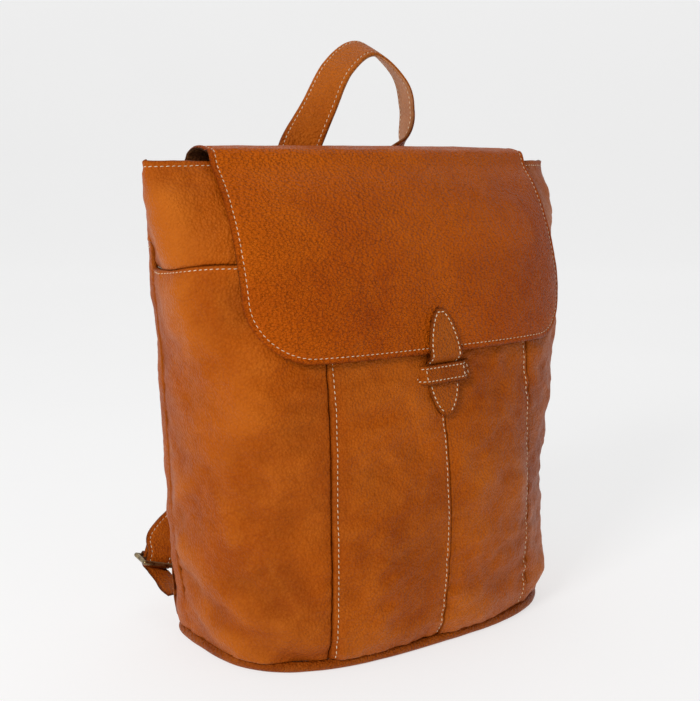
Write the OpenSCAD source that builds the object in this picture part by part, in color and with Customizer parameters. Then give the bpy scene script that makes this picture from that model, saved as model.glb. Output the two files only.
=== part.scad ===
/* [Bag body] */
// Height of the body from the table to the top edge
body_h = 370; // [340:5:400]
// Half the width at the base
base_half = 152; // [145:1:156]
// How far each side swells out just above the base
side_swell = 9; // [0:1:14]
// Half the width at the top edge
rim_half = 194; // [180:1:200]
// How far the front stands from the middle plane at the base
front_base = 94; // [88:1:98]
// How far the front stands from the middle plane at the top edge
front_rim = 62; // [52:1:64]
// How far the top edge is pinched back from there by the closed mouth
front_pinch = 28; // [0:1:32]
// How far the full lower front swells past a straight line between the two
front_swell = 26; // [10:1:32]
// How far the back stands from the middle plane below the zip
back_base = 69; // [64:1:72]
// How far the back stands from the middle plane at the top edge
back_rim = 18; // [14:1:24]
// How far the two front seams stand from the centre line
seam_x = 97; // [85:1:110]
// Height of the lapped seam where the top band begins
band_z = 291; // [280:1:300]
// Height of the middle of the zip on the back
zip_z = 312; // [308:1:314]
// Thickness of the outer leather
leather = 2.2; // [1.6:0.1:2.4]

/* [Flap] */
// Half the width of the flap
flap_half = 152; // [140:1:154]
// Height of the flap's bottom edge
flap_z = 229; // [226:1:236]
// Radius of the flap's bottom corners
flap_corner = 45; // [30:1:60]

/* [Closure] */
// Width of the closure tab
tab_w = 31; // [26:1:34]
// Height of the tab's upper point
tab_top_z = 262; // [256:1:270]
// Height of the tab's lower point
tab_tip_z = 182; // [176:1:190]
// Length of the keeper across the bag
keeper_w = 54; // [50:1:60]
// Height of the keeper's middle
keeper_z = 214; // [212:1:216]

/* [Straps and handle] */
// Width of the carrying handle
handle_w = 32; // [28:1:34]
// Width of a shoulder strap over the shoulder
strap_w = 40; // [36:1:42]
// Width of a shoulder strap at its buckle
strap_end_w = 23; // [20:1:24]

/* [Hidden] */

tan_leather = [0.72, 0.36, 0.10];
dark_leather = [0.50, 0.25, 0.09];
cloth = [0.62, 0.55, 0.45];
old_brass = [0.55, 0.45, 0.22];

gap = 0.4;
piping_r = 4;
wall_z = 2 * piping_r + gap;
lining_in = 4.2;
zip_gap = 12;
hinge_y = 12;
hinge_z = body_h + 4;
wire_r = 1.9;
bar_step = 11;
buckle_at = [-141, 98.4, 42];
buckle_tip = 16;
buckle_yaw = -8;

function ease(t) = let (c = min(max(t, 0), 1)) c * c * (3 - 2 * c);

// Height as a share of the body's height
function share(z) = min(max(z / body_h, 0), 1);

// Grows from nothing to 1 over the last stretch below the top edge
function rim_share(z) = pow(share(z), 12);

// The sides swell a little above the base and flare towards the top edge
function half_width(z) = base_half + side_swell * ease(share(z) / 0.3)
    + (rim_half - base_half - side_swell) * pow(share(z), 2.8);

// The front leans back from the base to the top edge and is fullest a third of the way up
function front_depth(z) = front_base + (front_rim - front_base) * share(z)
    + front_swell * pow(sin(180 * pow(share(z), 0.65)), 1.5) - front_pinch * rim_share(z);

// The back is upright and curves in to the top edge
function back_depth(z) = back_base - (back_base - back_rim) * pow(share(z), 5);

// Squareness of the section: 2 is an ellipse. The front is roundest at the swell, squarest under the band
// and pointed like a lens at the pinched mouth.
function front_power(z) = 2.6 + 0.45 * cos(450 * (share(z) - 0.7)) - 0.8 * rim_share(z);
function back_power(z) = 5 - 2.6 * pow(share(z), 6);

function signed_pow(v, e) = sign(v) * pow(abs(v), e);

// Point of the body at section angle t and height z, d inside the outer face. 270 degrees is the front.
function wall(t, z, d) =
    let (front = sin(t) < 0, w = half_width(z) - d,
        b = (front ? front_depth(z) : back_depth(z)) - d,
        n = front ? front_power(z) : back_power(z))
    [w * signed_pow(cos(t), 2 / n), b * signed_pow(sin(t), 2 / n), z];

// Depth of the front or the back face at a distance x from the centre
function face_y(depth, power, x, z) =
    let (r = min(abs(x) / half_width(z), 0.995)) depth * pow(1 - pow(r, power), 1 / power);
function front_y(x, z) = -face_y(front_depth(z), front_power(z), x, z);
function back_y(x, z) = face_y(back_depth(z), back_power(z), x, z);

// Section angle of the left front seam, and of the left side seam, at height z
function front_seam(z) =
    180 + acos(pow(seam_x / half_width(z), front_power(z) / 2));
function side_seam(z) = 178 - 6 * min(z / 60, 1);

function steps(a, b, n) = [for (i = [0 : n]) a + (b - a) * i / n];
function unit(v) = v / norm(v);

// Points along a smooth curve through a list of points, with n steps in each span
function smooth(p, n) =
    let (k = len(p) - 1)
    concat([for (i = [0 : k - 1], j = [0 : n - 1])
        let (f = j / n, a = p[max(i - 1, 0)], b = p[i], c = p[i + 1], d = p[min(i + 2, k)])
        0.5 * (2 * b + (c - a) * f + (2 * a - 5 * b + 4 * c - d) * f * f
            + (3 * b - a - 3 * c + d) * f * f * f)], [p[k]]);

// Closed slab between two grids of points of the same size
module slab(outer, inner) {
    rows = len(outer);
    cols = len(outer[0]);
    n = rows * cols;
    points = concat([for (r = outer) each r], [for (r = inner) each r]);
    function quad(a, b, c, d) = [[a, b, c], [a, c, d]];
    grid = [for (r = [0 : rows - 2], c = [0 : cols - 2]) r * cols + c];
    faces = concat(
        [for (k = grid) each quad(k, k + cols, k + cols + 1, k + 1)],
        [for (k = grid) each quad(n + k, n + k + 1, n + k + cols + 1, n + k + cols)],
        [for (c = [0 : cols - 2]) each quad(c, c + 1, n + c + 1, n + c)],
        [for (c = [0 : cols - 2]) let (k = n - cols + c) each quad(k, n + k, n + k + 1, k + 1)],
        [for (r = [0 : rows - 2]) let (k = r * cols) each quad(k, n + k, n + k + cols, k + cols)],
        [for (r = [0 : rows - 2]) let (k = (r + 1) * cols - 1)
            each quad(k, k + cols, n + k + cols, n + k)]);
    polyhedron(points, faces);
}

// Panel of the body between two section angles, which may change with height
module panel(t0, t1, z0, z1, outer, inner, across = 10, up = 12) {
    heights = steps(z0, z1, up);
    grids = [for (d = [outer, inner])
        [for (z = heights) [for (u = steps(0.001, 0.999, across)) wall(t0(z) + (t1(z) - t0(z)) * u, z, d)]]];
    slab(grids[0], grids[1]);
}

// Solid that fills the body's section, d inside the outer face
module core(d, z0, z1, up = 9, around = 52) {
    heights = steps(z0, z1, up);
    rings = [for (z = heights) each [for (i = [0 : around - 1]) wall(360 * i / around, z, d)]];
    faces = concat(
        [[for (i = [0 : around - 1]) i]],
        [for (r = [0 : up - 1], i = [0 : around - 1])
            let (a = r * around + i, b = r * around + (i + 1) % around)
            each [[a, a + around, b + around], [a, b + around, b]]],
        [[for (i = [around - 1 : -1 : 0]) up * around + i]]);
    polyhedron(rings, faces);
}

// Flat strap along a path: w holds half its width at each point, from and to are its two faces
module ribbon(path, w, side, from, to) {
    k = len(path) - 1;
    frames = [for (i = [0 : k])
        let (t = unit(path[min(i + 1, k)] - path[max(i - 1, 0)]), s = side[i],
            e = unit(s - (s * t) * t))
        [e, cross(t, e)]];
    faces_at = [for (h = [to, from])
        [for (i = [0 : k]) [for (u = [-1, -0.5, 0, 0.5, 1])
            path[i] + frames[i][0] * u * w[i] + frames[i][1] * h]]];
    slab(faces_at[0], faces_at[1]);
}

// Tube along a closed loop of points
module loop_tube(loop, r, sides = 10) {
    k = len(loop);
    rings = [for (i = [0 : k - 1])
        let (t = unit(loop[(i + 1) % k] - loop[(i + k - 1) % k]), e = unit(cross(t, [0, 0, 1])))
        each [for (a = [0 : sides - 1])
            loop[i] + r * (e * cos(360 * a / sides) + [0, 0, 1] * sin(360 * a / sides))]];
    faces = [for (i = [0 : k - 1], a = [0 : sides - 1])
        let (p = i * sides + a, q = i * sides + (a + 1) % sides,
            r0 = ((i + 1) % k) * sides + a, r1 = ((i + 1) % k) * sides + (a + 1) % sides)
        each [[p, q, r1], [p, r1, r0]]];
    polyhedron(rings, faces);
}

module section_plate(d, z0, z1) {
    outline = [for (i = [0 : 71]) let (p = wall(5 * i, 0, d)) [p[0], p[1]]];
    translate([0, 0, z0]) linear_extrude(z1 - z0) polygon(outline);
}

module base_panel() { color(dark_leather) section_plate(6.5, 0, 3); }
module base_board() { color(cloth) section_plate(8, 3 + gap, 5 + gap); }
module lining_base() { color(cloth) section_plate(8, 6, 7); }

module base_piping() {
    color(dark_leather)
        loop_tube([for (i = [0 : 59]) let (p = wall(6 * i, 4, 2)) [p[0], p[1], piping_r + 0.2]], piping_r);
}

module side_panel() {
    color(tan_leather)
        panel(function(z) side_seam(z), function(z) front_seam(z), wall_z, band_z, 0, leather, 12, 13);
}

module front_panel() {
    color(tan_leather)
        panel(function(z) front_seam(z), function(z) 270, wall_z, band_z, 0, leather, 8, 13);
}

module front_band() {
    color(tan_leather)
        panel(function(z) side_seam(z), function(z) 540 - side_seam(z), band_z + gap, body_h,
            1.2, 1.2 + leather, 30, 13);
}

module back_panel() {
    color(tan_leather)
        panel(function(z) 180 - side_seam(z), function(z) side_seam(z), wall_z, zip_z - zip_gap / 2,
            0, leather, 20, 13);
}

module back_yoke() {
    color(tan_leather)
        panel(function(z) 180 - side_seam(z), function(z) side_seam(z), zip_z + zip_gap / 2, body_h,
            0, leather, 20, 5);
}

module rim_facing() {
    color(dark_leather) difference() {
        core(3.8 + gap, body_h - 24, body_h, 4);
        core(5.6, body_h - 25, body_h + 1, 4);
    }
}

module lining_wall() {
    color(cloth) difference() {
        core(lining_in, wall_z, body_h - 24.5);
        core(lining_in + 1, wall_z - 1, body_h - 23);
    }
}

// Straight zip parts lie on the slanted back face
zip_back = back_depth(zip_z);
zip_lean = atan((back_depth(zip_z - 6) - back_depth(zip_z + 6)) / 12);
module on_zip() {
    translate([0, zip_back, zip_z]) rotate([zip_lean, 0, 0]) children();
}

module zip_tapes() {
    color(dark_leather)
        panel(function(z) 180 - side_seam(z), function(z) side_seam(z),
            zip_z - zip_gap / 2 + 0.2, zip_z + zip_gap / 2 - 0.2, 2.7, 3.7, 20, 2);
}

module zip_teeth() {
    color(old_brass) on_zip()
        for (x = [-132 : 5.5 : 132])
            translate([x, -1.5, (x / 5.5) % 2 == 0 ? 0.6 : -0.6]) cube([2.6, 1.4, 3.4], center = true);
}

zip_start = -122;
pin_y = 2.4;
module zip_slider() {
    color(old_brass) on_zip() translate([zip_start, 0, 0]) difference() {
        union() {
            translate([-6, -0.5, -4.2]) cube([12, 1.5, 8.4]);
            translate([-2, 1, -3]) cube([4, 2.6, 6]);
        }
        translate([-3, pin_y, -1]) rotate([0, 90, 0]) cylinder(h = 6, r = 0.8, $fn = 24);
    }
}

// The puller hangs from a pin through the slider's bridge
module zip_puller() {
    color(tan_leather) on_zip() translate([zip_start, pin_y, -1]) {
        rotate([0, 90, 0]) cylinder(h = 7, r = 0.74, center = true, $fn = 24);
        for (x = [-3.6, 2.4])
            translate([x, -0.8, -9]) cube([1.2, 1.6, 9.8]);
        translate([-5, -0.4, -34]) cube([10, 2.2, 26]);
    }
}

module back_pocket_bag() {
    color(cloth)
        panel(function(z) 62, function(z) 118, 130, zip_z - zip_gap / 2 - 1, 2.6, 3.8, 12, 8);
}

module inner_pocket() {
    color(cloth) panel(function(z) 66, function(z) 114, 160, 282, 7, 8.6, 12, 7);
}

module inner_zip() {
    color(dark_leather) panel(function(z) 68, function(z) 112, 283, 295, 7, 8, 12, 2);
    color(old_brass) panel(function(z) 69, function(z) 111, 287, 291, 8.2, 9.2, 12, 1);
}

inner_zip_y = back_y(0, 289) - 11;
module inner_zip_slider() {
    color(old_brass) translate([-78, inner_zip_y, 289]) {
        translate([-5, -1.2, -3.5]) cube([10, 2, 7]);
        translate([-2.5, -2.4, -20]) cube([5, 1, 22]);
        translate([-2, -1.6, -1]) cube([4, 0.6, 3]);
    }
}

module slip_pocket() {
    color(cloth) panel(function(z) 240, function(z) 300, 110, 225, 7.2, 8.4, 12, 7);
}

// The keeper bridges the tab and is sewn down at both ends
function keeper_lift(x) = 1.9 + 3.9 * ease((keeper_w / 2 - 4 - abs(x)) / 6);
module keeper_loop() {
    xs = steps(-keeper_w / 2, keeper_w / 2, 18);
    grids = [for (d = [2.2, 0])
        [for (z = [keeper_z - 7, keeper_z + 7])
            [for (x = xs) [x, front_y(x, keeper_z) - keeper_lift(x) + 1.1 - d - (keeper_z - z) * 0.28, z]]]];
    color(tan_leather) slab(grids[0], grids[1]);
}

// Half the tab's width at height z: both ends come to a point
function tab_half(z) =
    let (up = min((tab_top_z - z) / 30, 1), down = min((z - tab_tip_z) / 26, 1))
    0.4 + (tab_w / 2 - 0.4) * min(sqrt(1 - pow(1 - up, 1.8)), sqrt(1 - pow(1 - down, 1.9)));

// The tab runs over the flap and then under the keeper, along the body's front
function tab_y(z) =
    front_y(0, z) - 1.3 - (flap_stand(z) + 2.2) * ease((z - keeper_z - 6) / 8);
module closure_tab() {
    heights = steps(tab_tip_z, tab_top_z, 22);
    grids = [for (d = [2.0, 0])
        [for (z = heights) [for (u = steps(-1, 1, 4)) [u * tab_half(z), tab_y(z) - d, z]]]];
    color(tan_leather) slab(grids[0], grids[1]);
}

// How far the flap's inner face stands off the body's front
function flap_stand(z) = 2.4 + 3.2 * ease((body_h - 4 - z) / 130);
function flap_width(z) =
    let (q = flap_z + flap_corner - z)
    q <= 0 ? flap_half : flap_half - flap_corner + sqrt(max(pow(flap_corner, 2) - q * q, 0));

fold_z = body_h - 4;
// Rows of the flap from the hinge over the ridge and down the front: [share across the top, z]
corner_z = flap_z + flap_corner;
flap_rows = concat(
    [for (u = [0, 0.2, 0.4, 0.6, 0.78, 0.92]) [u, hinge_z - 0.8 + 4.6 * sin(180 * pow(u, 0.8) * 0.98)]],
    [for (z = steps(fold_z - 1, corner_z, 7)) [1, z]],
    [for (a = steps(10, 90, 8)) [1, corner_z - flap_corner * sin(a)]]);

function flap_point(u, row, d) =
    let (z = row[1], over = row[0] < 1, w = flap_width(min(z, body_h)), x = u * w,
        y_front = front_y(x, min(z, fold_z)) - flap_stand(min(z, fold_z)))
    over ? [x, hinge_y + (y_front - hinge_y) * row[0] - d * 0.35 * row[0], z + d * (1 - 0.55 * pow(row[0], 6))]
        : [x, y_front - d, z];

module flap_sheet(from, to) {
    grids = [for (d = [to, from])
        [for (row = flap_rows) [for (u = steps(-1, 1, 16)) flap_point(-u, row, d)]]];
    slab(grids[0], grids[1]);
}
module flap_outer() { color(tan_leather) flap_sheet(1.1, 2.6); }
module flap_lining() { color(dark_leather) flap_sheet(0, 0.9); }

// Sewn edge of the flap, over the back rim and down the back
module flap_hem() {
    over = [[15, hinge_z - 1], [19, hinge_z - 2]];
    down = [body_h - 2, body_h - 10, body_h - 20];
    xs = steps(-flap_half, flap_half, 14);
    grids = [for (d = [0, 2.2]) concat(
        [for (r = over) [for (x = xs) [x, r[0] + d * 0.3, r[1] + d]]],
        [for (z = down) [for (x = xs) [x, back_y(x, z) + 0.6 + d, z]]])];
    color(tan_leather) slab(grids[0], grids[1]);
}

// Where the handle's two arms meet their feet, across the bag
handle_left = -47;
handle_right = 54;

// Middle line of the carrying handle above its feet: [x, y, z, turn of its width from the bag's width]
handle_line = smooth([
    [handle_left, 29.8, 369.5, 4], [-43, 29.4, 380, 26], [-27, 27.3, 409, 62], [-6, 28, 443, 83],
    [24, 30.5, 459, 94], [56, 29.5, 438, 102], [65, 29, 412, 108], [62, 29, 388, 122],
    [handle_right, 29.8, 369.5, 172]], 5);
handle_path = [for (p = handle_line) [p[0], p[1], p[2]]];
handle_side = [for (p = handle_line) unit([cos(p[3]), -sin(p[3]), -0.42 * pow(sin(p[3]), 6)])];
module handle_sheet(from, to) {
    ribbon(handle_path, [for (p = handle_path) handle_w / 2], handle_side, from, to);
}
module handle_outer() { color(tan_leather) handle_sheet(-1.9, -0.1); }
module handle_lining() { color(dark_leather) handle_sheet(0.1, 1.5); }

module handle_feet() {
    color(tan_leather) for (x = [handle_left, handle_right]) {
        grids = [for (d = [3.6, 0])
            [for (z = [347, 351, 355, 359])
                [for (u = steps(-1, 1, 4)) [x + u * handle_w / 2, back_y(x, z) + 3.3 + d, z]]]];
        slab(grids[1], grids[0]);
    }
}

module strap_patch() {
    grids = [for (d = [4, 0])
        [for (z = steps(332, 347, 3)) [for (x = steps(-64, 64, 12)) [x, back_y(x, z) + 0.3 + d, z]]]];
    color(tan_leather) slab(grids[1], grids[0]);
}

// Axes of the left buckle: along its bars, across them and out of its plane
buckle_axes = [
    [cos(buckle_yaw) * cos(buckle_tip), sin(buckle_yaw) * cos(buckle_tip), -sin(buckle_tip)],
    [-sin(buckle_yaw), cos(buckle_yaw), 0],
    [cos(buckle_yaw) * sin(buckle_tip), sin(buckle_yaw) * sin(buckle_tip), cos(buckle_tip)]];
function at_buckle(across, up) = buckle_at + across * buckle_axes[1] + up * buckle_axes[2];
wrap_r = wire_r + 2.5;

// Left shoulder strap, from the patch down to the buckle: [x, y, z, lean of its width, half its width]
strap_line = smooth([
    [-36, 47, 329, 0, 17], [-39, 60, 316, 0, 17.5], [-43, 74, 298, 0, 18], [-50, 89, 268, 0, 19.5],
    [-58, 102, 230, 0, strap_w / 2], [-65, 112, 190, 0, strap_w / 2],
    [-72, 119, 152, 0, strap_w / 2], [-79, 122, 120, 5, strap_w / 2],
    [-86, 121, 98, 14, strap_w / 2], [-95, 117, 82, 28, 19.5], [-109, 111, 70, 38, 18],
    [-124, 104.5, 60, 36, 15], [-134, 99, 53, 26, 12.5], concat(at_buckle(-wrap_r, 6), [18, strap_end_w / 2])], 3);
strap_length = len(strap_line) - 1;
function strap_point(i) = [strap_line[i][0], strap_line[i][1], strap_line[i][2]];
function strap_side(i) = let (a = strap_line[i][3]) unit([cos(a), -0.43 * sin(a), -0.9 * sin(a)]);
strap_across = [for (i = [0 : strap_length]) strap_side(i)];
function strap_back(i) =
    let (t = unit(strap_point(min(i + 1, strap_length)) - strap_point(i - 1)))
    unit(cross(strap_side(i), t));

// Its end goes round the middle bar and back up behind itself
wrap = concat([for (a = [180 : 30 : 360]) at_buckle(wrap_r * cos(a), wrap_r * sin(a))],
    [at_buckle(wrap_r, 4.5)]);
doubled = [for (k = [4 : 9]) strap_point(strap_length - k) + 4.6 * strap_back(strap_length - k)];
strap_path = concat([for (i = [0 : strap_length]) strap_point(i)], wrap, doubled);
strap_sides = concat(strap_across, [for (p = wrap) buckle_axes[0]],
    [for (k = [4 : 9]) strap_side(strap_length - k)]);
strap_half = concat([for (p = strap_line) p[4]], [for (i = [0 : 6]) strap_end_w / 2], [strap_end_w / 2 - 2],
    [for (k = [4 : 9]) strap_line[strap_length - k][4] - 2.5]);

module strap() { color(tan_leather) ribbon(strap_path, strap_half, strap_sides, -1.9, -0.1); }
module strap_lining() {
    path = [for (i = [0 : strap_length]) strap_path[i]];
    color(dark_leather) ribbon(path, strap_half, strap_sides, 0.1, 1.5);
}

// Three-bar buckle of round wire
module buckle() {
    half = strap_end_w / 2 + wire_r + 1.2;
    color(old_brass) translate(buckle_at) rotate([0, buckle_tip, buckle_yaw]) {
        for (y = [-bar_step, 0, bar_step])
            translate([0, y, 0]) rotate([0, 90, 0]) cylinder(h = 2 * half, r = wire_r, center = true, $fn = 32);
        for (x = [-half, half]) {
            translate([x, 0, 0]) rotate([90, 0, 0]) cylinder(h = 2 * bar_step, r = wire_r, center = true, $fn = 32);
            for (y = [-bar_step, bar_step]) translate([x, y, 0]) sphere(r = wire_r, $fn = 32);
        }
    }
}

// Strip that holds the buckle: from the bag's corner, under the buckle and round its far bar
hold_r = wire_r + 1.9;
anchor_root = smooth([[-144, 63, 27], [-144, 70, 28], [-143, 79.5, 31], at_buckle(-7, -7.2)], 3);
anchor_path = concat(anchor_root, [at_buckle(4, -6.9)],
    [for (a = [-90 : 30 : 180]) at_buckle(bar_step + hold_r * cos(a), hold_r * sin(a) - (a == -90 ? 2.2 : 0))]);
anchor_count = len(anchor_root);
anchor_side = [for (i = [0 : len(anchor_path) - 1])
    i < anchor_count ? unit(buckle_axes[0] + (1 - i / anchor_count) * [-0.1, 0.55, 0.25]) : buckle_axes[0]];
module anchor_loop() {
    color(tan_leather) ribbon(anchor_path, [for (p = anchor_path) strap_end_w / 2 - 1.5], anchor_side, -1.6, 0);
}

// Leaf-shaped tab sewn on the bag's corner over the root of the strip
leaf_turn = 150;
module anchor_tab() {
    grids = [for (d = [-0.4, -3])
        [for (z = steps(11, 51, 10))
            let (h = 0.6 + 7.4 * pow(sin(180 * (z - 10) / 43), 0.7))
            [for (u = steps(-1, 1, 4)) wall(leaf_turn + u * h, z, d)]]];
    color(dark_leather) slab(grids[0], grids[1]);
}

module right() { mirror([1, 0, 0]) children(); }

base_panel();
base_board();
base_piping();
side_panel();  // side_panel_left
right() side_panel();  // side_panel_right
front_panel();  // front_panel_left
right() front_panel();  // front_panel_right
front_band();
back_panel();
back_yoke();
rim_facing();
lining_wall();
lining_base();
zip_tapes();
zip_teeth();
zip_slider();
zip_puller();
back_pocket_bag();
inner_pocket();
inner_zip();
inner_zip_slider();
slip_pocket();
keeper_loop();
flap_hem();
flap_outer();
flap_lining();
closure_tab();
handle_feet();
handle_outer();
handle_lining();
strap_patch();
strap();  // strap_left
strap_lining();  // strap_lining_left
buckle();  // buckle_left
anchor_loop();  // anchor_loop_left
anchor_tab();  // anchor_tab_left
right() strap();  // strap_right
right() strap_lining();  // strap_lining_right
right() buckle();  // buckle_right
right() anchor_loop();  // anchor_loop_right
right() anchor_tab();  // anchor_tab_right
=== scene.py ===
"""Looks of a leather backpack with a fold-over flap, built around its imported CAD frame.

Lengths are in mm until a mesh is made.
"""

import math

import bmesh
import bpy
import numpy as np
from mathutils import Matrix, Vector


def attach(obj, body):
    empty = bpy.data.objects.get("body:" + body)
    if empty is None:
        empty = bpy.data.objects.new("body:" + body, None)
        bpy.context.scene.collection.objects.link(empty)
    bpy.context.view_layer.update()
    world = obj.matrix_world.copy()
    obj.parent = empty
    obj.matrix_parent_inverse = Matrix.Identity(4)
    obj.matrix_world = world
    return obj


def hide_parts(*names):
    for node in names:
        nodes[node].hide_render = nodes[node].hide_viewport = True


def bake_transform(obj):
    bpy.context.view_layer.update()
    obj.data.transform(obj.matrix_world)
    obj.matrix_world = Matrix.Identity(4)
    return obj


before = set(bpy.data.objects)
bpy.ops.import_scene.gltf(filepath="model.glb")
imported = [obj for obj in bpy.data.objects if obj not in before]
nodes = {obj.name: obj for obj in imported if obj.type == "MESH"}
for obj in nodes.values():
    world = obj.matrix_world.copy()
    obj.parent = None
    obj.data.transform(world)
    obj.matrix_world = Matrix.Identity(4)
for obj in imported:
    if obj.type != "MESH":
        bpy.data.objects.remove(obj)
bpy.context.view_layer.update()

MM = 0.001
BODY_TOP, BAND_Z, SEAM_X, LEATHER, PANEL_FOOT = 370.0, 291.0, 97.0, 1.8, 7.6
ZIP_Z, ZIP_GAP = 312.0, 12.0
ZIP_LOW, ZIP_HIGH = ZIP_Z - ZIP_GAP / 2, ZIP_Z + ZIP_GAP / 2
FLAP_HALF, FLAP_Z, FLAP_CORNER, HINGE_Y, HINGE_Z = 152.0, 229.0, 45.0, 12.0, BODY_TOP + 4
STITCH_PITCH = 4.1
# How far the thread runs inside the edge that it holds
FRONT_SEAM, CENTRE_SEAM, LAP_SEAM, RIM_SEAM, ZIP_SEAM, FLAP_SEAM = 4.4, 2.8, 2.6, 4.4, 4.0, 4.2
TAB_SEAM, KEEPER_SEAM, HANDLE_SEAM, STRAP_SEAM, LEAF_SEAM = 2.8, 2.5, 3.6, 3.4, 2.6

# The body's driving dimensions, as in the CAD
BASE_HALF, SIDE_SWELL, RIM_HALF = 152.0, 9.0, 194.0
FRONT_BASE, FRONT_RIM, FRONT_SWELL, FRONT_PINCH = 94.0, 62.0, 26.0, 28.0
BACK_BASE, BACK_RIM = 69.0, 18.0


# ---------------------------------------------------------------- numbers and curves
def ease(t):
    t = np.clip(t, 0, 1)
    return t * t * (3 - 2 * t)


def height_share(z):
    return np.clip(np.asarray(z, float) / BODY_TOP, 0, 1)


def rim_share(z):
    """Grows from nothing to 1 over the last stretch below the top edge."""
    return height_share(z) ** 12


def half_width(z):
    """The sides swell a little above the base and flare towards the top edge."""
    flare = RIM_HALF - BASE_HALF - SIDE_SWELL
    return BASE_HALF + SIDE_SWELL * ease(height_share(z) / 0.3) + flare * height_share(z) ** 2.8


def front_depth(z):
    """The front leans back towards the top edge and is fullest a third of the way up."""
    swell = np.maximum(np.sin(np.pi * height_share(z) ** 0.65), 0) ** 1.5
    line = FRONT_BASE + (FRONT_RIM - FRONT_BASE) * height_share(z)
    return line + FRONT_SWELL * swell - FRONT_PINCH * rim_share(z)


def back_depth(z):
    """The back is upright and curves in to the top edge."""
    return BACK_BASE - (BACK_BASE - BACK_RIM) * height_share(z) ** 5


def front_power(z):
    """Squareness of the front's section: round at the swell, square under the band, pointed at the mouth."""
    return 2.6 + 0.45 * np.cos(np.radians(450 * (height_share(z) - 0.7))) - 0.8 * rim_share(z)


def back_power(z):
    return 5 - 2.6 * height_share(z) ** 6


def bell(d, width):
    return np.exp(-((d / width) ** 2))


def unit(v):
    return v / np.maximum(np.linalg.norm(v, axis=-1, keepdims=True), 1e-9)


def noise(x, y, seed):
    """Smooth random surface between -1 and 1, with features about one unit across."""
    table = np.random.RandomState(seed).uniform(-1, 1, (61, 61))
    x, y = np.broadcast_arrays(np.asarray(x, float), np.asarray(y, float))
    i, j = np.floor(x).astype(int), np.floor(y).astype(int)
    u, v = x - i, y - j
    u, v = u**3 * (u * (6 * u - 15) + 10), v**3 * (v * (6 * v - 15) + 10)
    i, j = i % 61, j % 61
    k, m = (i + 1) % 61, (j + 1) % 61
    low = table[i, j] * (1 - u) + table[k, j] * u
    high = table[i, m] * (1 - u) + table[k, m] * u
    return low * (1 - v) + high * v


def rough_noise(x, y, seed):
    return sum(noise(x * 2.03**k, y * 2.03**k, seed + k) * 0.5**k for k in range(3)) / 1.6


def smooth_line(points, n=0):
    """Catmull-Rom curve through points or rows of points: n steps in each span, or steps about 1.3 mm long."""
    p = np.asarray(points, float)
    out = []
    for i in range(len(p) - 1):
        a, b, c, d = p[max(i - 1, 0)], p[i], p[i + 1], p[min(i + 2, len(p) - 1)]
        count = n or max(int(np.max(np.linalg.norm(c - b, axis=-1)) / 1.3), 2)
        square, cube = 2 * a - 5 * b + 4 * c - d, 3 * b - a - 3 * c + d
        out += [0.5 * (2 * b + (c - a) * f + square * f**2 + cube * f**3) for f in np.arange(count) / count]
    return np.array(out + [p[-1]])


def arc_length(points):
    """Distance along a line of points, starting from 0."""
    return np.concatenate([[0], np.cumsum(np.linalg.norm(np.diff(points, axis=0), axis=1))])


def read_line(points, along, at):
    """The point of a line at a distance along it."""
    return np.array([np.interp(at, along, column) for column in points.T])


def index_of(value, grid):
    """Fractional index of a value in a rising list."""
    return np.interp(value, grid, np.arange(len(grid)))


def spread(length, step, edge=3.0, fine=0.5):
    """Positions from 0 to length, close together within edge of both ends."""
    edge = min(edge, length / 4)
    n = max(int(edge / fine), 2)
    inner = np.linspace(edge, length - edge, max(int((length - 2 * edge) / step), 2) + 1)
    start = np.linspace(0, edge, n, endpoint=False)
    return np.concatenate([start, inner, length - np.linspace(edge, 0, n + 1)[1:]])


# ---------------------------------------------------------------- meshes
def clean(mesh, weld=0.0):
    """Turn the faces outward, after joining points that are closer than weld, in metres."""
    bm = bmesh.new()
    bm.from_mesh(mesh)
    if weld:
        bmesh.ops.remove_doubles(bm, verts=bm.verts, dist=weld)
    bmesh.ops.recalc_face_normals(bm, faces=bm.faces)
    bm.to_mesh(mesh)
    bm.free()


def new_object(name, verts, faces, slots, attributes=None, face_slots=None):
    """Mesh object from points in mm, with outward normals."""
    mesh = bpy.data.meshes.new(name)
    mesh.from_pydata((np.asarray(verts, float) * MM).tolist(), [], [tuple(f) for f in faces])
    for material in slots:
        mesh.materials.append(material)
    if face_slots is not None:
        mesh.polygons.foreach_set("material_index", np.asarray(face_slots, np.int32))
    for key, values in (attributes or {}).items():
        layer = mesh.attributes.new(key, "FLOAT", "POINT")
        layer.data.foreach_set("value", np.asarray(values, np.float32).ravel())
    clean(mesh)
    mesh.polygons.foreach_set("use_smooth", np.full(len(mesh.polygons), True))
    obj = bpy.data.objects.new(name, mesh)
    bpy.context.scene.collection.objects.link(obj)
    return obj


def grid_faces(rows, cols, closed=False):
    r = np.arange(rows - 1)[:, None] * cols
    c = np.arange(cols if closed else cols - 1)[None, :]
    d = (c + 1) % cols
    return np.stack([r + c, r + d, r + cols + d, r + cols + c], -1).reshape(-1, 4)


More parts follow.
